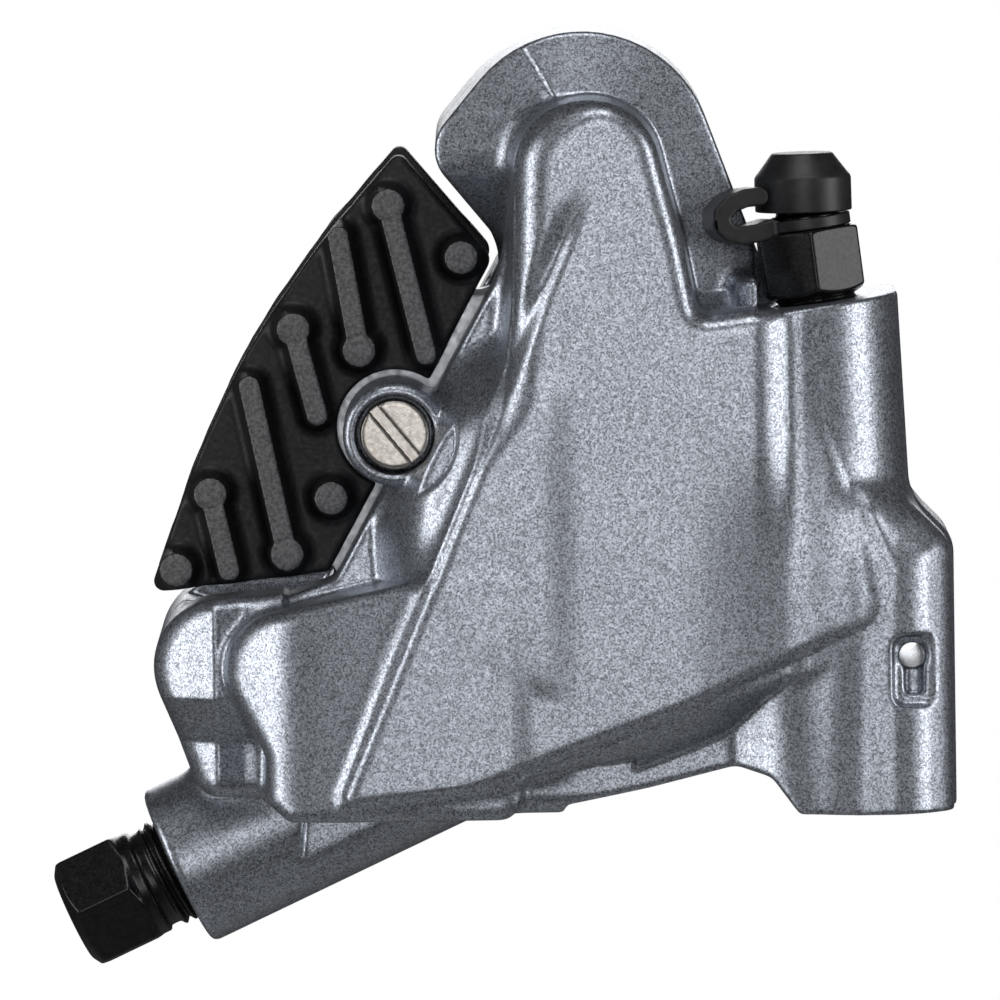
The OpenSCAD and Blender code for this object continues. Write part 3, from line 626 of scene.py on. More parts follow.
def outer_casting(grid):
    """Outboard half: arch and rim, raised face, flank, column, feet and bosses"""
    y = grid.y
    silhouette = grid.outline(SPINE)
    body = arch_and_lobe(grid, silhouette)
    body = join(body, grid.plate(LOWER, LOWER_Y, 30, (1.6, 1.6)), 1.0)
    body = join(body, column_and_foot(grid), 1.8)
    body = join(body, flank_and_bulge(grid), 0.9)
    face = raised_face(grid, silhouette)
    softly = np.maximum(ramp(-grid.x, 3.5, 6.5), ramp(grid.x, 10.5, 12.5))
    body = join(body, face, 0.3) * (1 - softly) + join(body, face, 1.6) * softly
    body = shared_hollows(grid, body)
    over = (grid.x - BLEED[0]) * BLEED_UP[0] + (grid.z - BLEED[2]) * BLEED_UP[2]
    beside = 9.1 + 1.5 * ramp(y, 4.2, 4.9)
    clear = np.maximum(np.maximum(-over, beside - grid.x), -(24 - grid.x))
    body = carve(body, clear + 0 * body, 0.3)
    ends = np.maximum(-grid.z, y - ROTOR_Y)
    body = meet(body, ends + 0 * body, 0.15)
    body = carve(body, grid.plate(FOOT_GAP, -30, 30), 0.35)
    body = drilled(grid, body, (
        ((-BOLT_PITCH / 2, 0, 0), UP, BOLT_R, -2, BOLT_DEEP, 0.15, 0.1),
        ((BOLT_PITCH / 2, 0, 0), UP, BOLT_R, -2, BOLT_DEEP, 0.15, 0.1),
        (AXLE, ALONG_Y, AXLE_HEAD_BORE_R, -30, AXLE_LOW[1] + 2.4, 0.15, 0.25),
        (AXLE, ALONG_Y, AXLE_BORE_R, -3, 30, 0.02, 0.05),
        (BLEED, BLEED_UP, BLEED_BORE_R, -10, 4, 0.02, 0.15),
        ((PIN_HOLE[0], 0, PIN_HOLE[2]), ALONG_Y, PIN_BORE_R, -30, 30, 0.15, 0.1),
    ))
    body = carve(body, grid.plate(PIN_POCKET, -30, PIN_POCKET_Y, back=(0.5, 0.5)), 0.4)
    body = carve(body, grid.plate(PIN_GROOVE, -30, PIN_GROOVE_Y, back=(0.4, 0.4)), 0.2)
    return carve(body, grid.rod(BORE, ALONG_Y, BORE_R, -BORE_DEEP, 2, 0.1), 0.1)


RIM_Y = -0.4
PARTING = ((-4.98, 51.0), (-7.5, 55.3))


def rim_height(grid, silhouette):
    """Front of the sloping band between the arch's outer edge and the raised face"""
    x, z = grid.x, grid.z
    height = RIM_Y + silhouette * 0.33
    turned = (np.hypot(np.maximum(46.3 - z, 0), 0.7) - 0.7) * ramp(-x, 4.0, 7.0)
    shelf = 2.2 * ramp(-z, -37.4, -35.4) * ramp(x, 3.0, 5.5)
    parting = 0.2 * ramp(grid.beside(*PARTING), -0.05, 0.05) * ramp(z, 49.5, 50.5)
    return np.maximum(height + turned * 0.95 - shelf + parting, -6.4)


def arch_and_lobe(grid, silhouette):
    """Arch with its square outer wall and sloping band, and the round lobe at the lower left"""
    rim = meet(silhouette, (rim_height(grid, silhouette) - grid.y) * 0.9, 0.3)
    scarp = np.clip(8.4 - grid.z, 0, 3.3)
    out = grid.x + 29.9
    height = -1.5 + scarp + 0.66 * np.maximum(-out, 0) + 0.28 * np.clip(out, 0, 2)
    lobe = grid.slab(silhouette, height, 30, (1.3, 1.3))
    share = ramp(-grid.x, 22, 25) * ramp(-grid.z, -24, -18)
    return rim * (1 - share) + lobe * share


def column_and_foot(grid):
    """Round column under the bleed nipple and the right foot in front of it"""
    up = np.array([-0.039, 0.0, 1.0])
    up /= np.linalg.norm(up)
    column = grid.rod(COLUMN_TOP, up, COLUMN_R, -60, 10, taper=-0.006)
    outline = grid.outline(COLUMN)
    column = join(meet(column, outline, 0.3), meet(outline, 0.0 - grid.y, 0.3), 0.3)
    round_off = 2.6 + 2.0 * ramp(grid.x, 16, 19)
    front = grid.plate(FOOT_FRONT, FOOT_FRONT_Y, 30, (round_off, round_off * 0.9))
    foot = join(grid.plate(FOOT, FOOT_Y, 30, (1.3, 1.3)), front, 1.0)
    return join(column, foot, 1.6)


RIDGE = [(-20.67, 1.78), (-15.13, 14.51), (-9.05, 28.6), (-2.3, 41.2), (-0.4, 45.6)]
EDGE = [(-20.67, 1.78), (-9.2, 29.0), (-8.45, 34.0), (-8.3, 44.0)]
BULGE = [(-24.6, -0.1, 1.0), (-8.0, -0.1, 2.0), (-8.0, 18.9, 2.0),
         tip((-24.7, 10.6), 4.2, 103, 212), (-26.3, 4.6, 1.4), (-26.4, 1.4, 1.0)]


def left_of(grid, places):
    """Distance out from a bent line, on its left"""
    sides = [grid.beside(a, b) for a, b in zip(places, places[1:])]
    return reduce(lambda a, b: join(a, b, 0.4), sides)


def raised_face(grid, silhouette):
    """Flat front with its rolled edge, which ends in a crisp line, and the ridge's groove"""
    y = grid.y
    face = grid.outline(FACE)
    radius = 0.9 + (1.7 - 1.15 * ramp(grid.x, -5, -1)) * ramp(grid.z, 24.5, 30)
    into = np.clip(face + radius, 0, radius * 0.97)
    roll = radius - np.sqrt(radius ** 2 - into ** 2)
    high = ramp(grid.z, 17, 28)
    right = 2.3 * ramp(grid.x, 8.7, 13.4) * high + 1.4 * ramp(grid.x, 3, 17) * (1 - high)
    height = FRONT_Y + roll + right + groove(grid)
    bevel = 0.6 * ramp(-grid.z, -22, -12) * ramp(grid.x, -22, -16)
    wall = face - np.clip(y - FRONT_Y, 0, 6) * (0.04 + bevel)
    crisp = meet(wall, (height - y) * 0.8, 0.2)
    soft = meet(wall, (height - y) * 0.8, 2.4)
    softly = ramp(grid.x, 11, 15)
    raised = crisp * (1 - softly) + soft * softly
    beside_arch = np.minimum(silhouette + 0.4, np.maximum(grid.z - 37.5, -grid.x))
    return meet(raised, beside_arch, 0.3)


def groove(grid):
    """Depth of the shallow groove that runs down the left of the ridge"""
    left = left_of(grid, RIDGE)
    steep = ramp(left, -0.1, 1.0)
    gentle = 1 - ramp(left, 0.9, 2.5)
    return 0.5 * steep * gentle * ramp(-grid.z, -45.5, -40.0) * ramp(grid.z, 24.0, 29.0)


def flank_and_bulge(grid):
    """Steep flank from the ridge to the window, the bulge under it and the axle's boss"""
    flank = grid.plate(FLANK, FRONT_Y + 0.3, 30, (0.6, 0.6))
    left = np.maximum(left_of(grid, EDGE), 0)
    off_piston = np.hypot(grid.x - PISTON[0], grid.z - PISTON[2]) - PISTON_R - 0.5
    over_piston = ROTOR_Y - 16.0 + 1.6 * np.maximum(off_piston - 0.4, 0)
    surface = FRONT_Y + 0.7 + 0.33 * left + 1.1 * (off_piston + np.hypot(off_piston, 1.2))
    surface = surface + left * 1.2 * ramp(grid.z, 33, 39)
    surface = join(surface, 0.4 + 0 * surface, 1.5)
    flank = meet(flank, (surface - grid.y) * 0.6, 0.5)
    out = -24.8 - grid.x
    height = FRONT_Y + 0.5 + 0.17 * left + 0.33 * (out + np.hypot(out, 1.5))
    flank = join(flank, grid.plate(BULGE, height, 30, (1.1, 1.1)), 0.5)
    recess = grid.rod(AXLE, ALONG_Y, 4.4, -30, AXLE_LOW[1] + 0.3, 0.3)
    flank = carve(flank, np.maximum(recess, grid.y - over_piston), 0.3)
    boss = grid.rod(AXLE, ALONG_Y, AXLE_BOSS_R, AXLE_LOW[1] - 0.3, POCKET_Y + 0.2, 0.8)
    return join(flank, boss, 0.6)


INNER = [
    (-12.0, -0.8, 2.0), (2.0, 5.0, 9.0), (9.6, 12.0, 9.0), (9.6, 28.0, 8.0), (4.0, 36.0, 4.0),
    (6.4, 44.0, 1.2)] + ARCH + LOBE


def inner_casting(grid):
    """Inboard half: plate with the piston's housing, the axle's boss and the hose port"""
    deep = BACK_Y - ROTOR_Y
    body = grid.plate(INNER, ROTOR_Y, BACK_Y - 2.2, back=(3.0, 3.0))
    body = join(body, grid.rod(BORE, ALONG_Y, PISTON_R + 2.45, SLOT_HALF, deep, 0.9), 1.2)
    body = carve(body, grid.rod(BORE, ALONG_Y, PISTON_R - 2.2, deep - 0.5, 40, 0.3), 0.4)
    body = join(body, grid.rod(PORT, PORT_OUT, PORT_R, -25, 0, 0.5), 1.8)
    boss = grid.rod(AXLE, ALONG_Y, AXLE_BOSS_R, 2 * ROTOR_Y - POCKET_Y - 0.1, ROTOR_Y + 13, 0.4)
    body = join(body, boss, 1.6)
    body = shared_hollows(grid, body)
    body = meet(body, ROTOR_Y - grid.y + 0 * body, 0.1)
    for x, z in JOINT_BOLTS:
        seat = grid.rod((x, 0, z), ALONG_Y, BOLT_HEAD_R + 0.15, BOLT_SEAT, 40)
        body = carve(body, seat, 0.3)
        body = carve(body, grid.rod((x, 0, z), ALONG_Y, BOLT_BORE_R, 0, 40), 0.1)
    return drilled(grid, body, (
        (AXLE, ALONG_Y, AXLE_BORE_R, 0, 40, 0.02, 0.05),
        (PORT, PORT_OUT, PORT_BORE_R, -11.6, 3, 0.1, 0.25),
        (BORE, ALONG_Y, BORE_R, -2, BORE_DEEP, 0.1, 0.1),
    ))


# ---------------------------------------------------------------- fins
FIN = [pad_place(-11.4, 73.1, 0.6), pad_place(-4, 73.1, 0.6), pad_place(0, 73.2, 0.6),
       pad_place(14.0, 73.4, 1.0), pad_place(17.7, 83.0, 0.7), pad_place(9, 84.875, 30),
       pad_place(0, 85.9, 40), pad_place(-9, 85.375, 30), pad_place(-18.8, 83.8, 0.7)]
RIBS = (((-16.99, 43.39), (-14.45, 32.69)), ((-20.6, 41.2), (-19.23, 33.06)),
        ((-23.92, 34.63), (-22.31, 28.45)), ((-27.14, 30.6), (-24.63, 18.51)),
        ((-30.06, 22.9), (-28.8, 17.43)))
SPOTS = ((-16.99, 43.39), (-19.23, 33.06), (-23.92, 34.63), (-24.63, 18.51), (-30.06, 22.9),
         (-32.6, 17.5), (-11.84, 39.59), (-21.41, 22.48))
RIB_HALF = 0.72
SPOT_R = 1.15
FIN_BACK = 2.2
FIN_HOLE_R = 4.2
TOP_DEPTH = 0.16


def from_line(x, y, a, b):
    """Distance from a straight line between two places"""
    ex, ey = b[0] - a[0], b[1] - a[1]
    t = np.clip(((x - a[0]) * ex + (y - a[1]) * ey) / (ex * ex + ey * ey), 0, 1)
    return np.hypot(x - a[0] - ex * t, y - a[1] - ey * t)


def fin_casting(grid):
    """Outboard cooling fin: a thin sector with flat-topped ribs and round ejector spots"""
    y = grid.y
    low, high = FIN_LOW[1], PLATE_LOW[1]
    sector = grid.outline(FIN)
    fin = grid.slab(sector, high - FIN_BACK, high, (0.5, 0.5), (0.2, 0.2))
    spots = [np.hypot(grid.x - x, grid.z - z) for x, z in SPOTS]
    tops = [from_line(grid.x, grid.z, a, b) - RIB_HALF for a, b in RIBS]
    tops = reduce(np.minimum, tops + [away - SPOT_R for away in spots])
    raised = meet(tops - (y - low) * 0.22, low - y + 0 * tops, 0.1)
    fin = join(fin, np.maximum(raised, y - high + 0.3), 0.7)
    for away in spots:
        fin = carve(fin, np.hypot(away - SPOT_R + 0.12, y - low) - 0.09, 0.05)
    fin = meet(fin, sector + 0 * fin, 0.15)
    return carve(fin, grid.rod(AXLE, ALONG_Y, FIN_HOLE_R, -30, 30), 0.2)


def add_fin(name, places, faces, body, node):
    """Fin whose flat rib tops have their own, greyer coat"""
    made = piece(name, places, faces, finish("fin_black_coat"), body, (node,))
    made.data.materials.append(finish("fin_rib_coat"))
    heights = [v.co.y for v in made.data.vertices]
    top = min(heights) if body == "outer_pad" else max(heights)
    for face in made.data.polygons:
        if abs(face.center.y - top) < TOP_DEPTH * MM and abs(face.normal.y) > 0.75:
            face.material_index = 1


# ---------------------------------------------------------------- fittings
FINE = (0.09, 0.15)
SPRING_T = 0.4
SPRING_IN = 70.8
SPRING_TOP = 77.6
NUT_LOW, NUT_HIGH = -9.0, 8.5
NUT_ACROSS = 8.0
NUT_BORE_R = 2.6
NUT_PITCH = 0.75
NIPPLE_ACROSS = 7.0
NIPPLE_PITCH = 1.0
NIPPLE_BORE_R = 0.7
AXLE_R = 1.6
AXLE_HEAD_R = 2.5
CLIP_Y = 24.5
SOCKET_ACROSS = 5.0
CAP_FOOT = 6.5
CAP_LEAN = math.radians(5.8)
CAP = [(2.42, 0), (3.45, 0, 0.12), (3.45, 2.45, 0.3), (3.15, 2.8, 0.3), (2.15, 4.15, 0.12),
       (0.02, 4.15), (0.02, 3.45), (2.42, 3.45)]
STRAP_TURN = math.radians(18)
STRAP = [(2.9, 5.66), (4.2, 5.5), (5.3, 5.5), (6.2, 5.8), (6.72, 6.45), (6.6, 7.2), (5.8, 7.85),
         (4.7, 8.1), (3.62, 8.05)]
STRAP_HALF = 1.7
SLOT_ANGLE = math.radians(-51)


def nut_casting(grid):
    """Hose nut along its own Z: thread, runout neck and chamfered hexagon, bored through"""
    x, y, w = grid.x, grid.y, grid.z
    out = np.sqrt(x * x + y * y)
    thread_r = 3.58 + 0.42 * np.clip(thread_wave(x, y, w, NUT_PITCH) * 1.25 - 0.1, 0, 1)
    thread = np.maximum((out - thread_r) * 0.62, np.maximum(NUT_LOW - w, w - 1.55))
    thread = np.maximum(thread, (out - 3.4 - (1.75 - w)) * 0.7)
    body = join(thread, grid.rod(HERE, UP, 3.62, 1.2, 4.0), 0.1)
    head = grid.hexagon(NUT_ACROSS, 2.9, NUT_HIGH, 7.0, 1.1, 1.35)
    body = join(body, join(head, grid.rod(HERE, UP, 3.95, 2.3, 3.3), 0.2), 0.25)
    body = carve(body, grid.rod(HERE, UP, NUT_BORE_R, -30, 30) + 0 * body, 0.1)
    return carve(body, (out - NUT_BORE_R - np.maximum(w - NUT_HIGH + 0.5, 0)) * 0.8, 0.1)


def nipple_casting(grid):
    """Bleed nipple along its own Z: cone, thread, hexagon and nozzle, drilled"""
    x, y, w = grid.x, grid.y, grid.z
    out = np.sqrt(x * x + y * y)
    wave = thread_wave(x, y, w, NIPPLE_PITCH)
    thread = np.maximum((out - 2.6 - 0.4 * wave) * 0.6, np.maximum(-8.6 - w, w - 0.4))
    point = np.maximum((out - 3.0 + (-8.6 - w) * 1.23) * 0.63, np.maximum(-9.85 - w, w + 8.5))
    head = grid.hexagon(NIPPLE_ACROSS, 0.3, 5.2, 3.4, 1.1, 0.3, 0.14)
    body = join(join(thread, point), head, 0.15)
    neck = join(grid.rod(HERE, UP, 2.5, 4.0, 6.3, 0.2), grid.rod(HERE, UP, 2.0, 5.0, 9.7, 0.3), 0.2)
    return carve(join(body, neck, 0.2), grid.rod(HERE, UP, NIPPLE_BORE_R, -7.8, 30), 0.1)


def strap_casting(grid):
    """Ring on the nipple's neck and the loop that goes up to the cap"""
    x, y, w = grid.x, grid.y, grid.z
    out = np.sqrt(x * x + y * y)
    ring = np.maximum(np.abs(out - 2.88) - 0.35, np.abs(w - 5.66) - 0.41)
    u = -x * math.cos(STRAP_TURN) - y * math.sin(STRAP_TURN)
    v = -x * math.sin(STRAP_TURN) + y * math.cos(STRAP_TURN)
    band = reduce(np.minimum, [from_line(u, w, a, b) for a, b in zip(STRAP, STRAP[1:])])
    strap = snug(band - 0.66, np.abs(v) - STRAP_HALF, 0.2)
    body = join(ring, np.maximum(strap, 2.6 - out), 0.3)
    body = carve(body, grid.rod(HERE, UP, 2.54, -1, 30), 0.05)
    lean = (math.sin(CAP_LEAN), 0, math.cos(CAP_LEAN))
    return carve(body, grid.rod((0, 0, CAP_FOOT), lean, 3.46, -0.02, 6), 0.02)


def axle_casting(grid):
    """Pad axle along Y: slotted, domed head and a shank with the clip's groove"""
    x, y, z = grid.x - AXLE[0], grid.y, grid.z - AXLE[2]
    head = grid.rod(AXLE, ALONG_Y, AXLE_HEAD_R, AXLE_LOW[1], -0.55, 0.32)
    body = join(head, grid.rod(AXLE, ALONG_Y, AXLE_R, -1.5, AXLE_HIGH[1], 0.3), 0.1)
    clip_groove = np.maximum(np.abs(y - CLIP_Y) - 0.35, 1.1 - np.hypot(x, z))
    body = carve(body, clip_groove + 0 * body, 0.05)
    across = np.abs(-x * math.sin(SLOT_ANGLE) + z * math.cos(SLOT_ANGLE))
    return carve(body, np.maximum(across - 0.42, y - (AXLE_LOW[1] + 0.95)) + 0 * body, 0.12)


def bolt_casting(grid, x, z):
    """Socket head of a joining bolt, with its shank"""
    head = grid.rod((x, 0.0, z), ALONG_Y, BOLT_HEAD_R, BOLT_SEAT, BOLT_SEAT + 3.8, 0.35)
    shank = grid.rod((x, 0.0, z), ALONG_Y, BOLT_SHANK_R, BOLT_END, BOLT_SEAT + 1, 0.3)
    socket = hexagon_flats(grid.x - x, grid.z - z, SOCKET_ACROSS, 0, 0.05)
    socket = np.maximum(socket, BOLT_SEAT + 1.4 - grid.y)
    return carve(join(head, shank, 0.3), socket, 0.15)


def spring_strip(grid):
    """Two leaves behind the linings and the strip over them, with the axle's holes"""
    y0, y1 = (height[1] for height in node_box("pad_spring"))
    top, under = SPRING_TOP, SPRING_TOP - SPRING_T
    edges = (0.08, 0.08), (0.08, 0.08)
    leaf = grid.outline([pad_place(-7, SPRING_IN, 1.5), pad_place(7, SPRING_IN, 1.5),
                         pad_place(5, top, 1.0), pad_place(-5, top, 1.0)])
    over = [pad_place(-5, under, 0.1), pad_place(5, under, 0.1), pad_place(5, top, 0.1),
            pad_place(-5, top, 0.1)]
    leaves = join(grid.slab(leaf, y0, y0 + SPRING_T, *edges),
                  grid.slab(leaf, y1 - SPRING_T, y1, *edges))
    strip = join(leaves, grid.plate(over, y0, y1, *edges), 0.15)
    return carve(strip, grid.rod(AXLE, ALONG_Y, AXLE_R + 0.3, -30, 40), 0.05)


def lathe(profile, sides=128):
    """Vertices and faces of a closed profile of radius and height, turned about Z"""
    count = len(profile)
    places = [(r * math.cos(2 * math.pi * k / sides), r * math.sin(2 * math.pi * k / sides), h)
              for k in range(sides) for r, h in profile]
    faces = []
    for k in range(sides):
        after = (k + 1) % sides
        for i in range(count):
            j = (i + 1) % count
            faces.append((k * count + i, after * count + i, after * count + j, k * count + j))
    return np.array(places), faces


def eased(profile, radius, steps=4):
    """Profile with its corners rounded, each corner by radius or its own third number"""
    out = []
    count = len(profile)
    for i, corner in enumerate(profile):
        p = np.array(corner[:2], float)
        before = np.array(profile[i - 1][:2], float)
        after = np.array(profile[(i + 1) % count][:2], float)
        r = corner[2] if len(corner) > 2 else radius
        a, b = before - p, after - p
        la, lb = np.linalg.norm(a), np.linalg.norm(b)
        cut = min(r, la * 0.45, lb * 0.45)
        start, end = p + a / la * cut, p + b / lb * cut
        for k in range(steps + 1):
            t = k / steps
            out.append(tuple((1 - t) ** 2 * start + 2 * t * (1 - t) * p + t * t * end))
    return out


def placed(places, origin, along, lean=0.0):
    """Places from a piece's own frame, with Z along its axis, to the row's frame"""
    matrix = Matrix.Translation(Vector(origin))
    z_axis = Vector(along).normalized()
    x_axis = Vector((0, 1, 0)).cross(z_axis).normalized()
    y_axis = z_axis.cross(x_axis)
    spin = Matrix((x_axis, y_axis, z_axis)).transposed().to_4x4()
    whole = np.array(matrix @ spin @ Matrix.Rotation(lean, 4, "Y"))
    return np.asarray(places) @ whole[:3, :3].T + whole[:3, 3]


class CaliperSizes(bpy.types.PropertyGroup):
    """Finishes of the caliper that a user would change"""
    paint_colour: bpy.props.FloatVectorProperty(
        name="Paint", description="Colour of the metallic paint", subtype="COLOR",
        size=3, min=0, max=1, default=(0.36, 0.385, 0.43))
    flake_size: bpy.props.FloatProperty(
        name="Flake size", description="Size of the paint's metal flakes",
        default=0.00011, min=0.00005, max=0.001, precision=5, subtype="DISTANCE", unit="LENGTH")
    casting_grid: bpy.props.FloatProperty(
        name="Casting grid", description="Spacing of the points that the castings are built on",
        default=0.0002, min=0.0001, max=0.001, precision=5, subtype="DISTANCE", unit="LENGTH")


class StudioSizes(bpy.types.PropertyGroup):
    """Camera, lamps and floor"""
    distance: bpy.props.FloatProperty(
        name="Camera distance", description="From the camera to the caliper", default=0.85,
        min=0.2, max=5, subtype="DISTANCE", unit="LENGTH")
    elevation: bpy.props.FloatProperty(
        name="Camera height", description="Angle of the camera above the caliper",
        default=math.radians(4.6), subtype="ANGLE", unit="ROTATION")
    roll: bpy.props.FloatProperty(
        name="Camera roll", description="Turn of the picture", default=math.radians(0.9),
        subtype="ANGLE", unit="ROTATION")
    floor_colour: bpy.props.FloatVectorProperty(
        name="Floor", description="Colour of the floor", subtype="COLOR", size=3, min=0, max=1,
        default=(0.8, 0.8, 0.8))
    side_light: bpy.props.FloatProperty(
        name="Side light", description="Strength of the two side lamps", default=4.5, min=0,
        unit="POWER")
    back_light: bpy.props.FloatProperty(
        name="Back light", description="Strength of the lamp behind the caliper", default=5.0,
        min=0, unit="POWER")
    top_light: bpy.props.FloatProperty(
        name="Top light", description="Strength of the lamp over the caliper", default=3.0, min=0,
        unit="POWER")
    front_light: bpy.props.FloatProperty(
        name="Front light", description="Strength of the lamp behind the camera", default=4.0,
        min=0, unit="POWER")


class CALIPER_OT_outer_body(bpy.types.Operator):
    """Builds the outboard casting"""
    bl_idname = "caliper.outer_body"
    bl_label = "Outboard casting"

    def execute(self, context):
        sizes = context.scene.caliper
        cast("outer_casting", node_box("outer_body", 0.3), (sizes.casting_grid / MM, 0.35),
             outer_casting, cast_paint(sizes), "caliper", "outer_body")
        return {"FINISHED"}


class CALIPER_OT_inner_body(bpy.types.Operator):
    """Builds the inboard casting"""
    bl_idname = "caliper.inner_body"
    bl_label = "Inboard casting"

    def execute(self, context):
        cast("inner_casting", node_box("inner_body", 0.3), (0.25, 0.4), inner_casting,
             cast_paint(context.scene.caliper), "caliper", "inner_body")
        return {"FINISHED"}


class CALIPER_OT_fins(bpy.types.Operator):
    """Builds both cooling fins"""
    bl_idname = "caliper.fins"
    bl_label = "Cooling fins"

    def execute(self, context):
        grid = Casting(*node_box("outer_pad_fin", 0.2), grid_step(0.13, 0.2))
        places, faces = grid.skin(fin_casting(grid))
        add_fin("outer_fin", places, faces, "outer_pad", "outer_pad_fin")
        mirrored = places * (1, -1, 1) + (0, 2 * ROTOR_Y, 0)
        add_fin("inner_fin", mirrored, faces[:, ::-1], "inner_pad", "inner_pad_fin")
        return {"FINISHED"}


class CALIPER_OT_hose_nut(bpy.types.Operator):
    """Builds the hose nut"""
    bl_idname = "caliper.hose_nut"
    bl_label = "Hose nut"

    def execute(self, context):
        box = (-4.8, -4.8, NUT_LOW), (4.8, 4.8, NUT_HIGH)
        cast("hose_nut_body", box, FINE, nut_casting, finish("black_oxide_steel"),
             "hose_nut", "hose_nut", (PORT, PORT_OUT))
        return {"FINISHED"}


class CALIPER_OT_bleed_nipple(bpy.types.Operator):
    """Builds the bleed nipple, its cap and the strap between them"""
    bl_idname = "caliper.bleed_nipple"
    bl_label = "Bleed nipple and cap"

    def execute(self, context):
        box = (-4.2, -4.2, -9.9), (4.2, 4.2, 9.8)
        cast("nipple_body", box, FINE, nipple_casting, finish("black_oxide_steel"),
             "bleed_nipple", "bleed_nipple", (BLEED, BLEED_UP))
        rubber = finish("moulded_rubber")
        places, faces = lathe(eased(CAP, 0.08))
        places = placed(places, BLEED + BLEED_UP * CAP_FOOT, BLEED_UP, lean=CAP_LEAN)
        piece("cap_body", places, faces, rubber, "bleed_cap", ("bleed_cap",))
        box = (-7.6, -3.6, 5.0), (3.6, 3.6, 9.3)
        strap = cast("cap_strap", box, FINE, strap_casting, rubber, None, "cap_tether",
                     (BLEED, BLEED_UP))
        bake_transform(strap)
        return {"FINISHED"}


class CALIPER_OT_pad_axle(bpy.types.Operator):
    """Builds the slotted pad axle"""
    bl_idname = "caliper.pad_axle"
    bl_label = "Pad axle"

    def execute(self, context):
        cast("axle_body", (AXLE_LOW, AXLE_HIGH), (0.1, 0.15), axle_casting, finish("nickel_plate"),
             "pad_axle", "pad_axle")
        return {"FINISHED"}


class CALIPER_OT_body_bolts(bpy.types.Operator):
    """Builds the two socket bolts that join the halves"""
    bl_idname = "caliper.body_bolts"
    bl_label = "Joining bolts"

    def execute(self, context):
        for number, (x, z) in enumerate(JOINT_BOLTS):
            box = ((x - BOLT_HEAD_R, BOLT_END, z - BOLT_HEAD_R),
                   (x + BOLT_HEAD_R, BOLT_SEAT + 3.8, z + BOLT_HEAD_R))
            cast(f"joining_bolt_{number + 1}", box, (0.15, 0.25),
                 lambda grid: bolt_casting(grid, x, z), finish("black_oxide_steel"),
                 "caliper", "body_bolts")
        return {"FINISHED"}


class CALIPER_OT_pad_spring(bpy.types.Operator):
    """Builds the leaf spring that holds the two pads apart"""
    bl_idname = "caliper.pad_spring"
    bl_label = "Pad spring"

    def execute(self, context):
        spring = cast("spring_strip", node_box("pad_spring"), (0.1, 0.15), spring_strip,
                      finish("rolled_spring_steel"), "caliper", "pad_spring")
        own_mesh(spring)
        return {"FINISHED"}


class CALIPER_OT_inner_finishes(bpy.types.Operator):
    """Gives the pieces that keep their CAD shape their finishes"""
    bl_idname = "caliper.inner_finishes"
    bl_label = "Finishes of the inner pieces"

    def execute(self, context):
        finishes = {
            "ground_ceramic": ("outer_piston", "inner_piston"),
            "moulded_rubber": ("outer_piston_seal", "inner_piston_seal", "crossover_seal"),
            "zinc_plated_steel": ("outer_pad_plate", "inner_pad_plate"),
            "pressed_resin_lining": ("outer_pad_lining", "inner_pad_lining"),
            "rolled_spring_steel": ("pad_axle_clip",),
            "turned_brass": ("olive",),
        }
        for name, nodes in finishes.items():
            for node in nodes:
                materials = frame["nodes"][node].data.materials
                materials.clear()
                materials.append(finish(name))
        return {"FINISHED"}


SENSOR = 36.0
PIXELS_PER_MM = 14.0
CAMERA_AIM = Vector((-9.33, 0.0, 22.3)) * MM
LAMP_AIM = Vector((-9.33, 8.0, 22.3)) * MM
FLOOR_DROP = 1.4
FLOOR_R = 6.0
CARD_PLACE = (-0.009, 2.0, -0.139)
CARD_R = 0.19


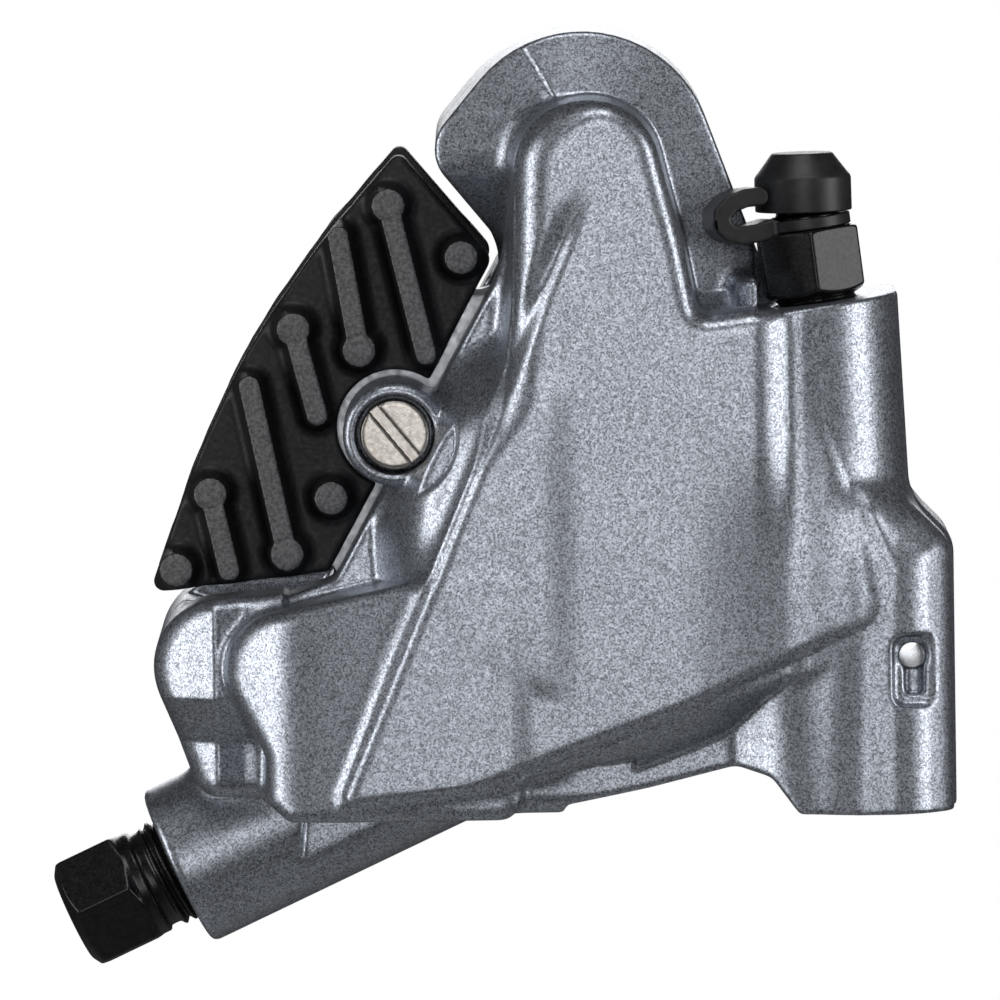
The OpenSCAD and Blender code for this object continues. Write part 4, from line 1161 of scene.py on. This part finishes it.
class CALIPER_OT_studio(bpy.types.Operator):
    """Sets up the floor, backdrop, lamps and camera"""
    bl_idname = "caliper.studio"
    bl_label = "Studio"

    def execute(self, context):
        studio = context.scene.studio
        self.camera(studio)
        self.floor(studio)
        self.lamps(studio)
        self.world()
        context.scene.view_settings.view_transform = "Standard"
        return {"FINISHED"}

    def camera(self, studio):
        data = bpy.data.cameras.new("studio_camera")
        data.sensor_width = SENSOR
        data.lens = SENSOR * PIXELS_PER_MM * studio.distance
        data.clip_end = 50.0
        camera = shown("studio_camera", data)
        back = Vector((0, -math.cos(studio.elevation), math.sin(studio.elevation)))
        camera.location = CAMERA_AIM + back * studio.distance
        level = (-back).to_track_quat("-Z", "Y")
        camera.rotation_mode = "QUATERNION"
        camera.rotation_quaternion = level @ Matrix.Rotation(-studio.roll, 4, "Z").to_quaternion()
        bpy.context.scene.camera = camera

    def floor(self, studio):
        low = min(corner[2] for corner in CAD_BOX) - FLOOR_DROP
        ground = self.pale("pale_floor", 0.7, studio)
        self.sheet("floor", FLOOR_R, 96, Matrix.Translation((0, 0, low)), ground.material)
        upright = Matrix.Translation(CARD_PLACE) @ Matrix.Rotation(math.pi / 2, 4, "X")
        square = Matrix.Rotation(math.pi / 4, 4, "Z")
        self.sheet("backdrop", CARD_R, 4, upright @ square, self.white_card(studio))

    def pale(self, name, roughness, studio):
        """Pale and faintly uneven finish"""
        look = Look(name)
        look.base(0.0, roughness)
        light = tuple(studio.floor_colour)
        look.colour(look.between(look.noise(40.0, 2), tuple(c * 0.98 for c in light), light))
        return look

    def sheet(self, name, radius, corners, place, material):
        mesh = bpy.data.meshes.new(name)
        shape = bmesh.new()
        bmesh.ops.create_circle(shape, cap_ends=True, segments=corners, radius=radius)
        bmesh.ops.transform(shape, matrix=place, verts=shape.verts)
        shape.to_mesh(mesh)
        shape.free()
        mesh.materials.append(material)
        shown(name, mesh)

    def white_card(self, studio):
        """Pale card that the camera, gloss and glass see as pure white"""
        card = self.pale("white_card", 0.8, studio)
        path = card.add("ShaderNodeLightPath")
        seen = path.outputs["Is Camera Ray"]
        for ray in ("Is Glossy Ray", "Is Transmission Ray"):
            either = card.add("ShaderNodeMath", operation="MAXIMUM")
            card.link(seen, either.inputs[0])
            card.link(path.outputs[ray], either.inputs[1])
            seen = either.outputs[0]
        white = card.add("ShaderNodeEmission")
        mix = card.add("ShaderNodeMixShader")
        card.link(seen, mix.inputs[0])
        card.link(card.shader.outputs[0], mix.inputs[1])
        card.link(white.outputs[0], mix.inputs[2])
        card.link(mix.outputs[0], card.tree.nodes["Material Output"].inputs["Surface"])
        return card.material

    def lamps(self, studio):
        plan = (
            ("left_box", (-0.95, -0.34, 0.10), (0.42, 0.8), studio.side_light),
            ("right_box", (0.93, -0.34, 0.10), (0.42, 0.8), studio.side_light),
            ("top_box", (-0.01, -0.42, 0.95), (0.6, 0.4), studio.top_light),
            ("front_box", (-0.01, -1.4, 0.28), (0.45, 1.0), studio.front_light),
            ("back_box", (0.0, 1.5, 0.45), (0.8, 0.8), studio.back_light),
        )
        for name, place, size, power in plan:
            data = bpy.data.lights.new(name, "AREA")
            data.shape = "RECTANGLE"
            data.size, data.size_y = size
            data.energy = power
            lamp = shown(name, data)
            lamp.location = place
            lamp.rotation_mode = "QUATERNION"
            lamp.rotation_quaternion = (LAMP_AIM - Vector(place)).to_track_quat("-Z", "Y")

    def world(self):
        world = bpy.data.worlds.new("studio_world")
        world.use_nodes = True
        tree = world.node_tree
        tree.nodes.clear()
        out = tree.nodes.new("ShaderNodeOutputWorld")
        soft = tree.nodes.new("ShaderNodeBackground")
        place = tree.nodes.new("ShaderNodeTexCoord")
        split = tree.nodes.new("ShaderNodeSeparateXYZ")
        fade = tree.nodes.new("ShaderNodeMapRange")
        tree.links.new(place.outputs["Generated"], split.inputs[0])
        tree.links.new(split.outputs["Y"], fade.inputs["Value"])
        fade.inputs["From Min"].default_value = -1.0
        fade.inputs["From Max"].default_value = 0.2
        fade.inputs["To Min"].default_value = 0.12
        fade.inputs["To Max"].default_value = 0.05
        tree.links.new(fade.outputs[0], soft.inputs["Strength"])
        tree.links.new(soft.outputs[0], out.inputs["Surface"])
        bpy.context.scene.world = world


class CALIPER_PT_panel(bpy.types.Panel):
    """Sidebar panel with every step of the caliper"""
    bl_idname = "CALIPER_PT_panel"
    bl_label = "Disc brake caliper"
    bl_space_type = "VIEW_3D"
    bl_region_type = "UI"
    bl_category = "Caliper"

    def draw(self, context):
        layout = self.layout
        for group in (context.scene.caliper, context.scene.studio):
            box = layout.box()
            for key in group.__annotations__:
                box.prop(group, key)
        for step in STEPS:
            layout.operator(step.bl_idname)


STEPS = (
    CALIPER_OT_outer_body, CALIPER_OT_inner_body, CALIPER_OT_fins, CALIPER_OT_pad_axle,
    CALIPER_OT_bleed_nipple, CALIPER_OT_hose_nut, CALIPER_OT_body_bolts,
    CALIPER_OT_pad_spring, CALIPER_OT_inner_finishes, CALIPER_OT_studio,
)
CLASSES = (CaliperSizes, StudioSizes, *STEPS, CALIPER_PT_panel)


def register():
    for cls in CLASSES:
        bpy.utils.register_class(cls)
    bpy.types.Scene.caliper = bpy.props.PointerProperty(type=CaliperSizes)
    bpy.types.Scene.studio = bpy.props.PointerProperty(type=StudioSizes)


def unregister():
    del bpy.types.Scene.studio
    del bpy.types.Scene.caliper
    for cls in reversed(CLASSES):
        bpy.utils.unregister_class(cls)


def main():
    register()
    for step in STEPS:
        group, name = step.bl_idname.split(".")
        getattr(getattr(bpy.ops, group), name)()


if __name__ == "__main__":
    main()
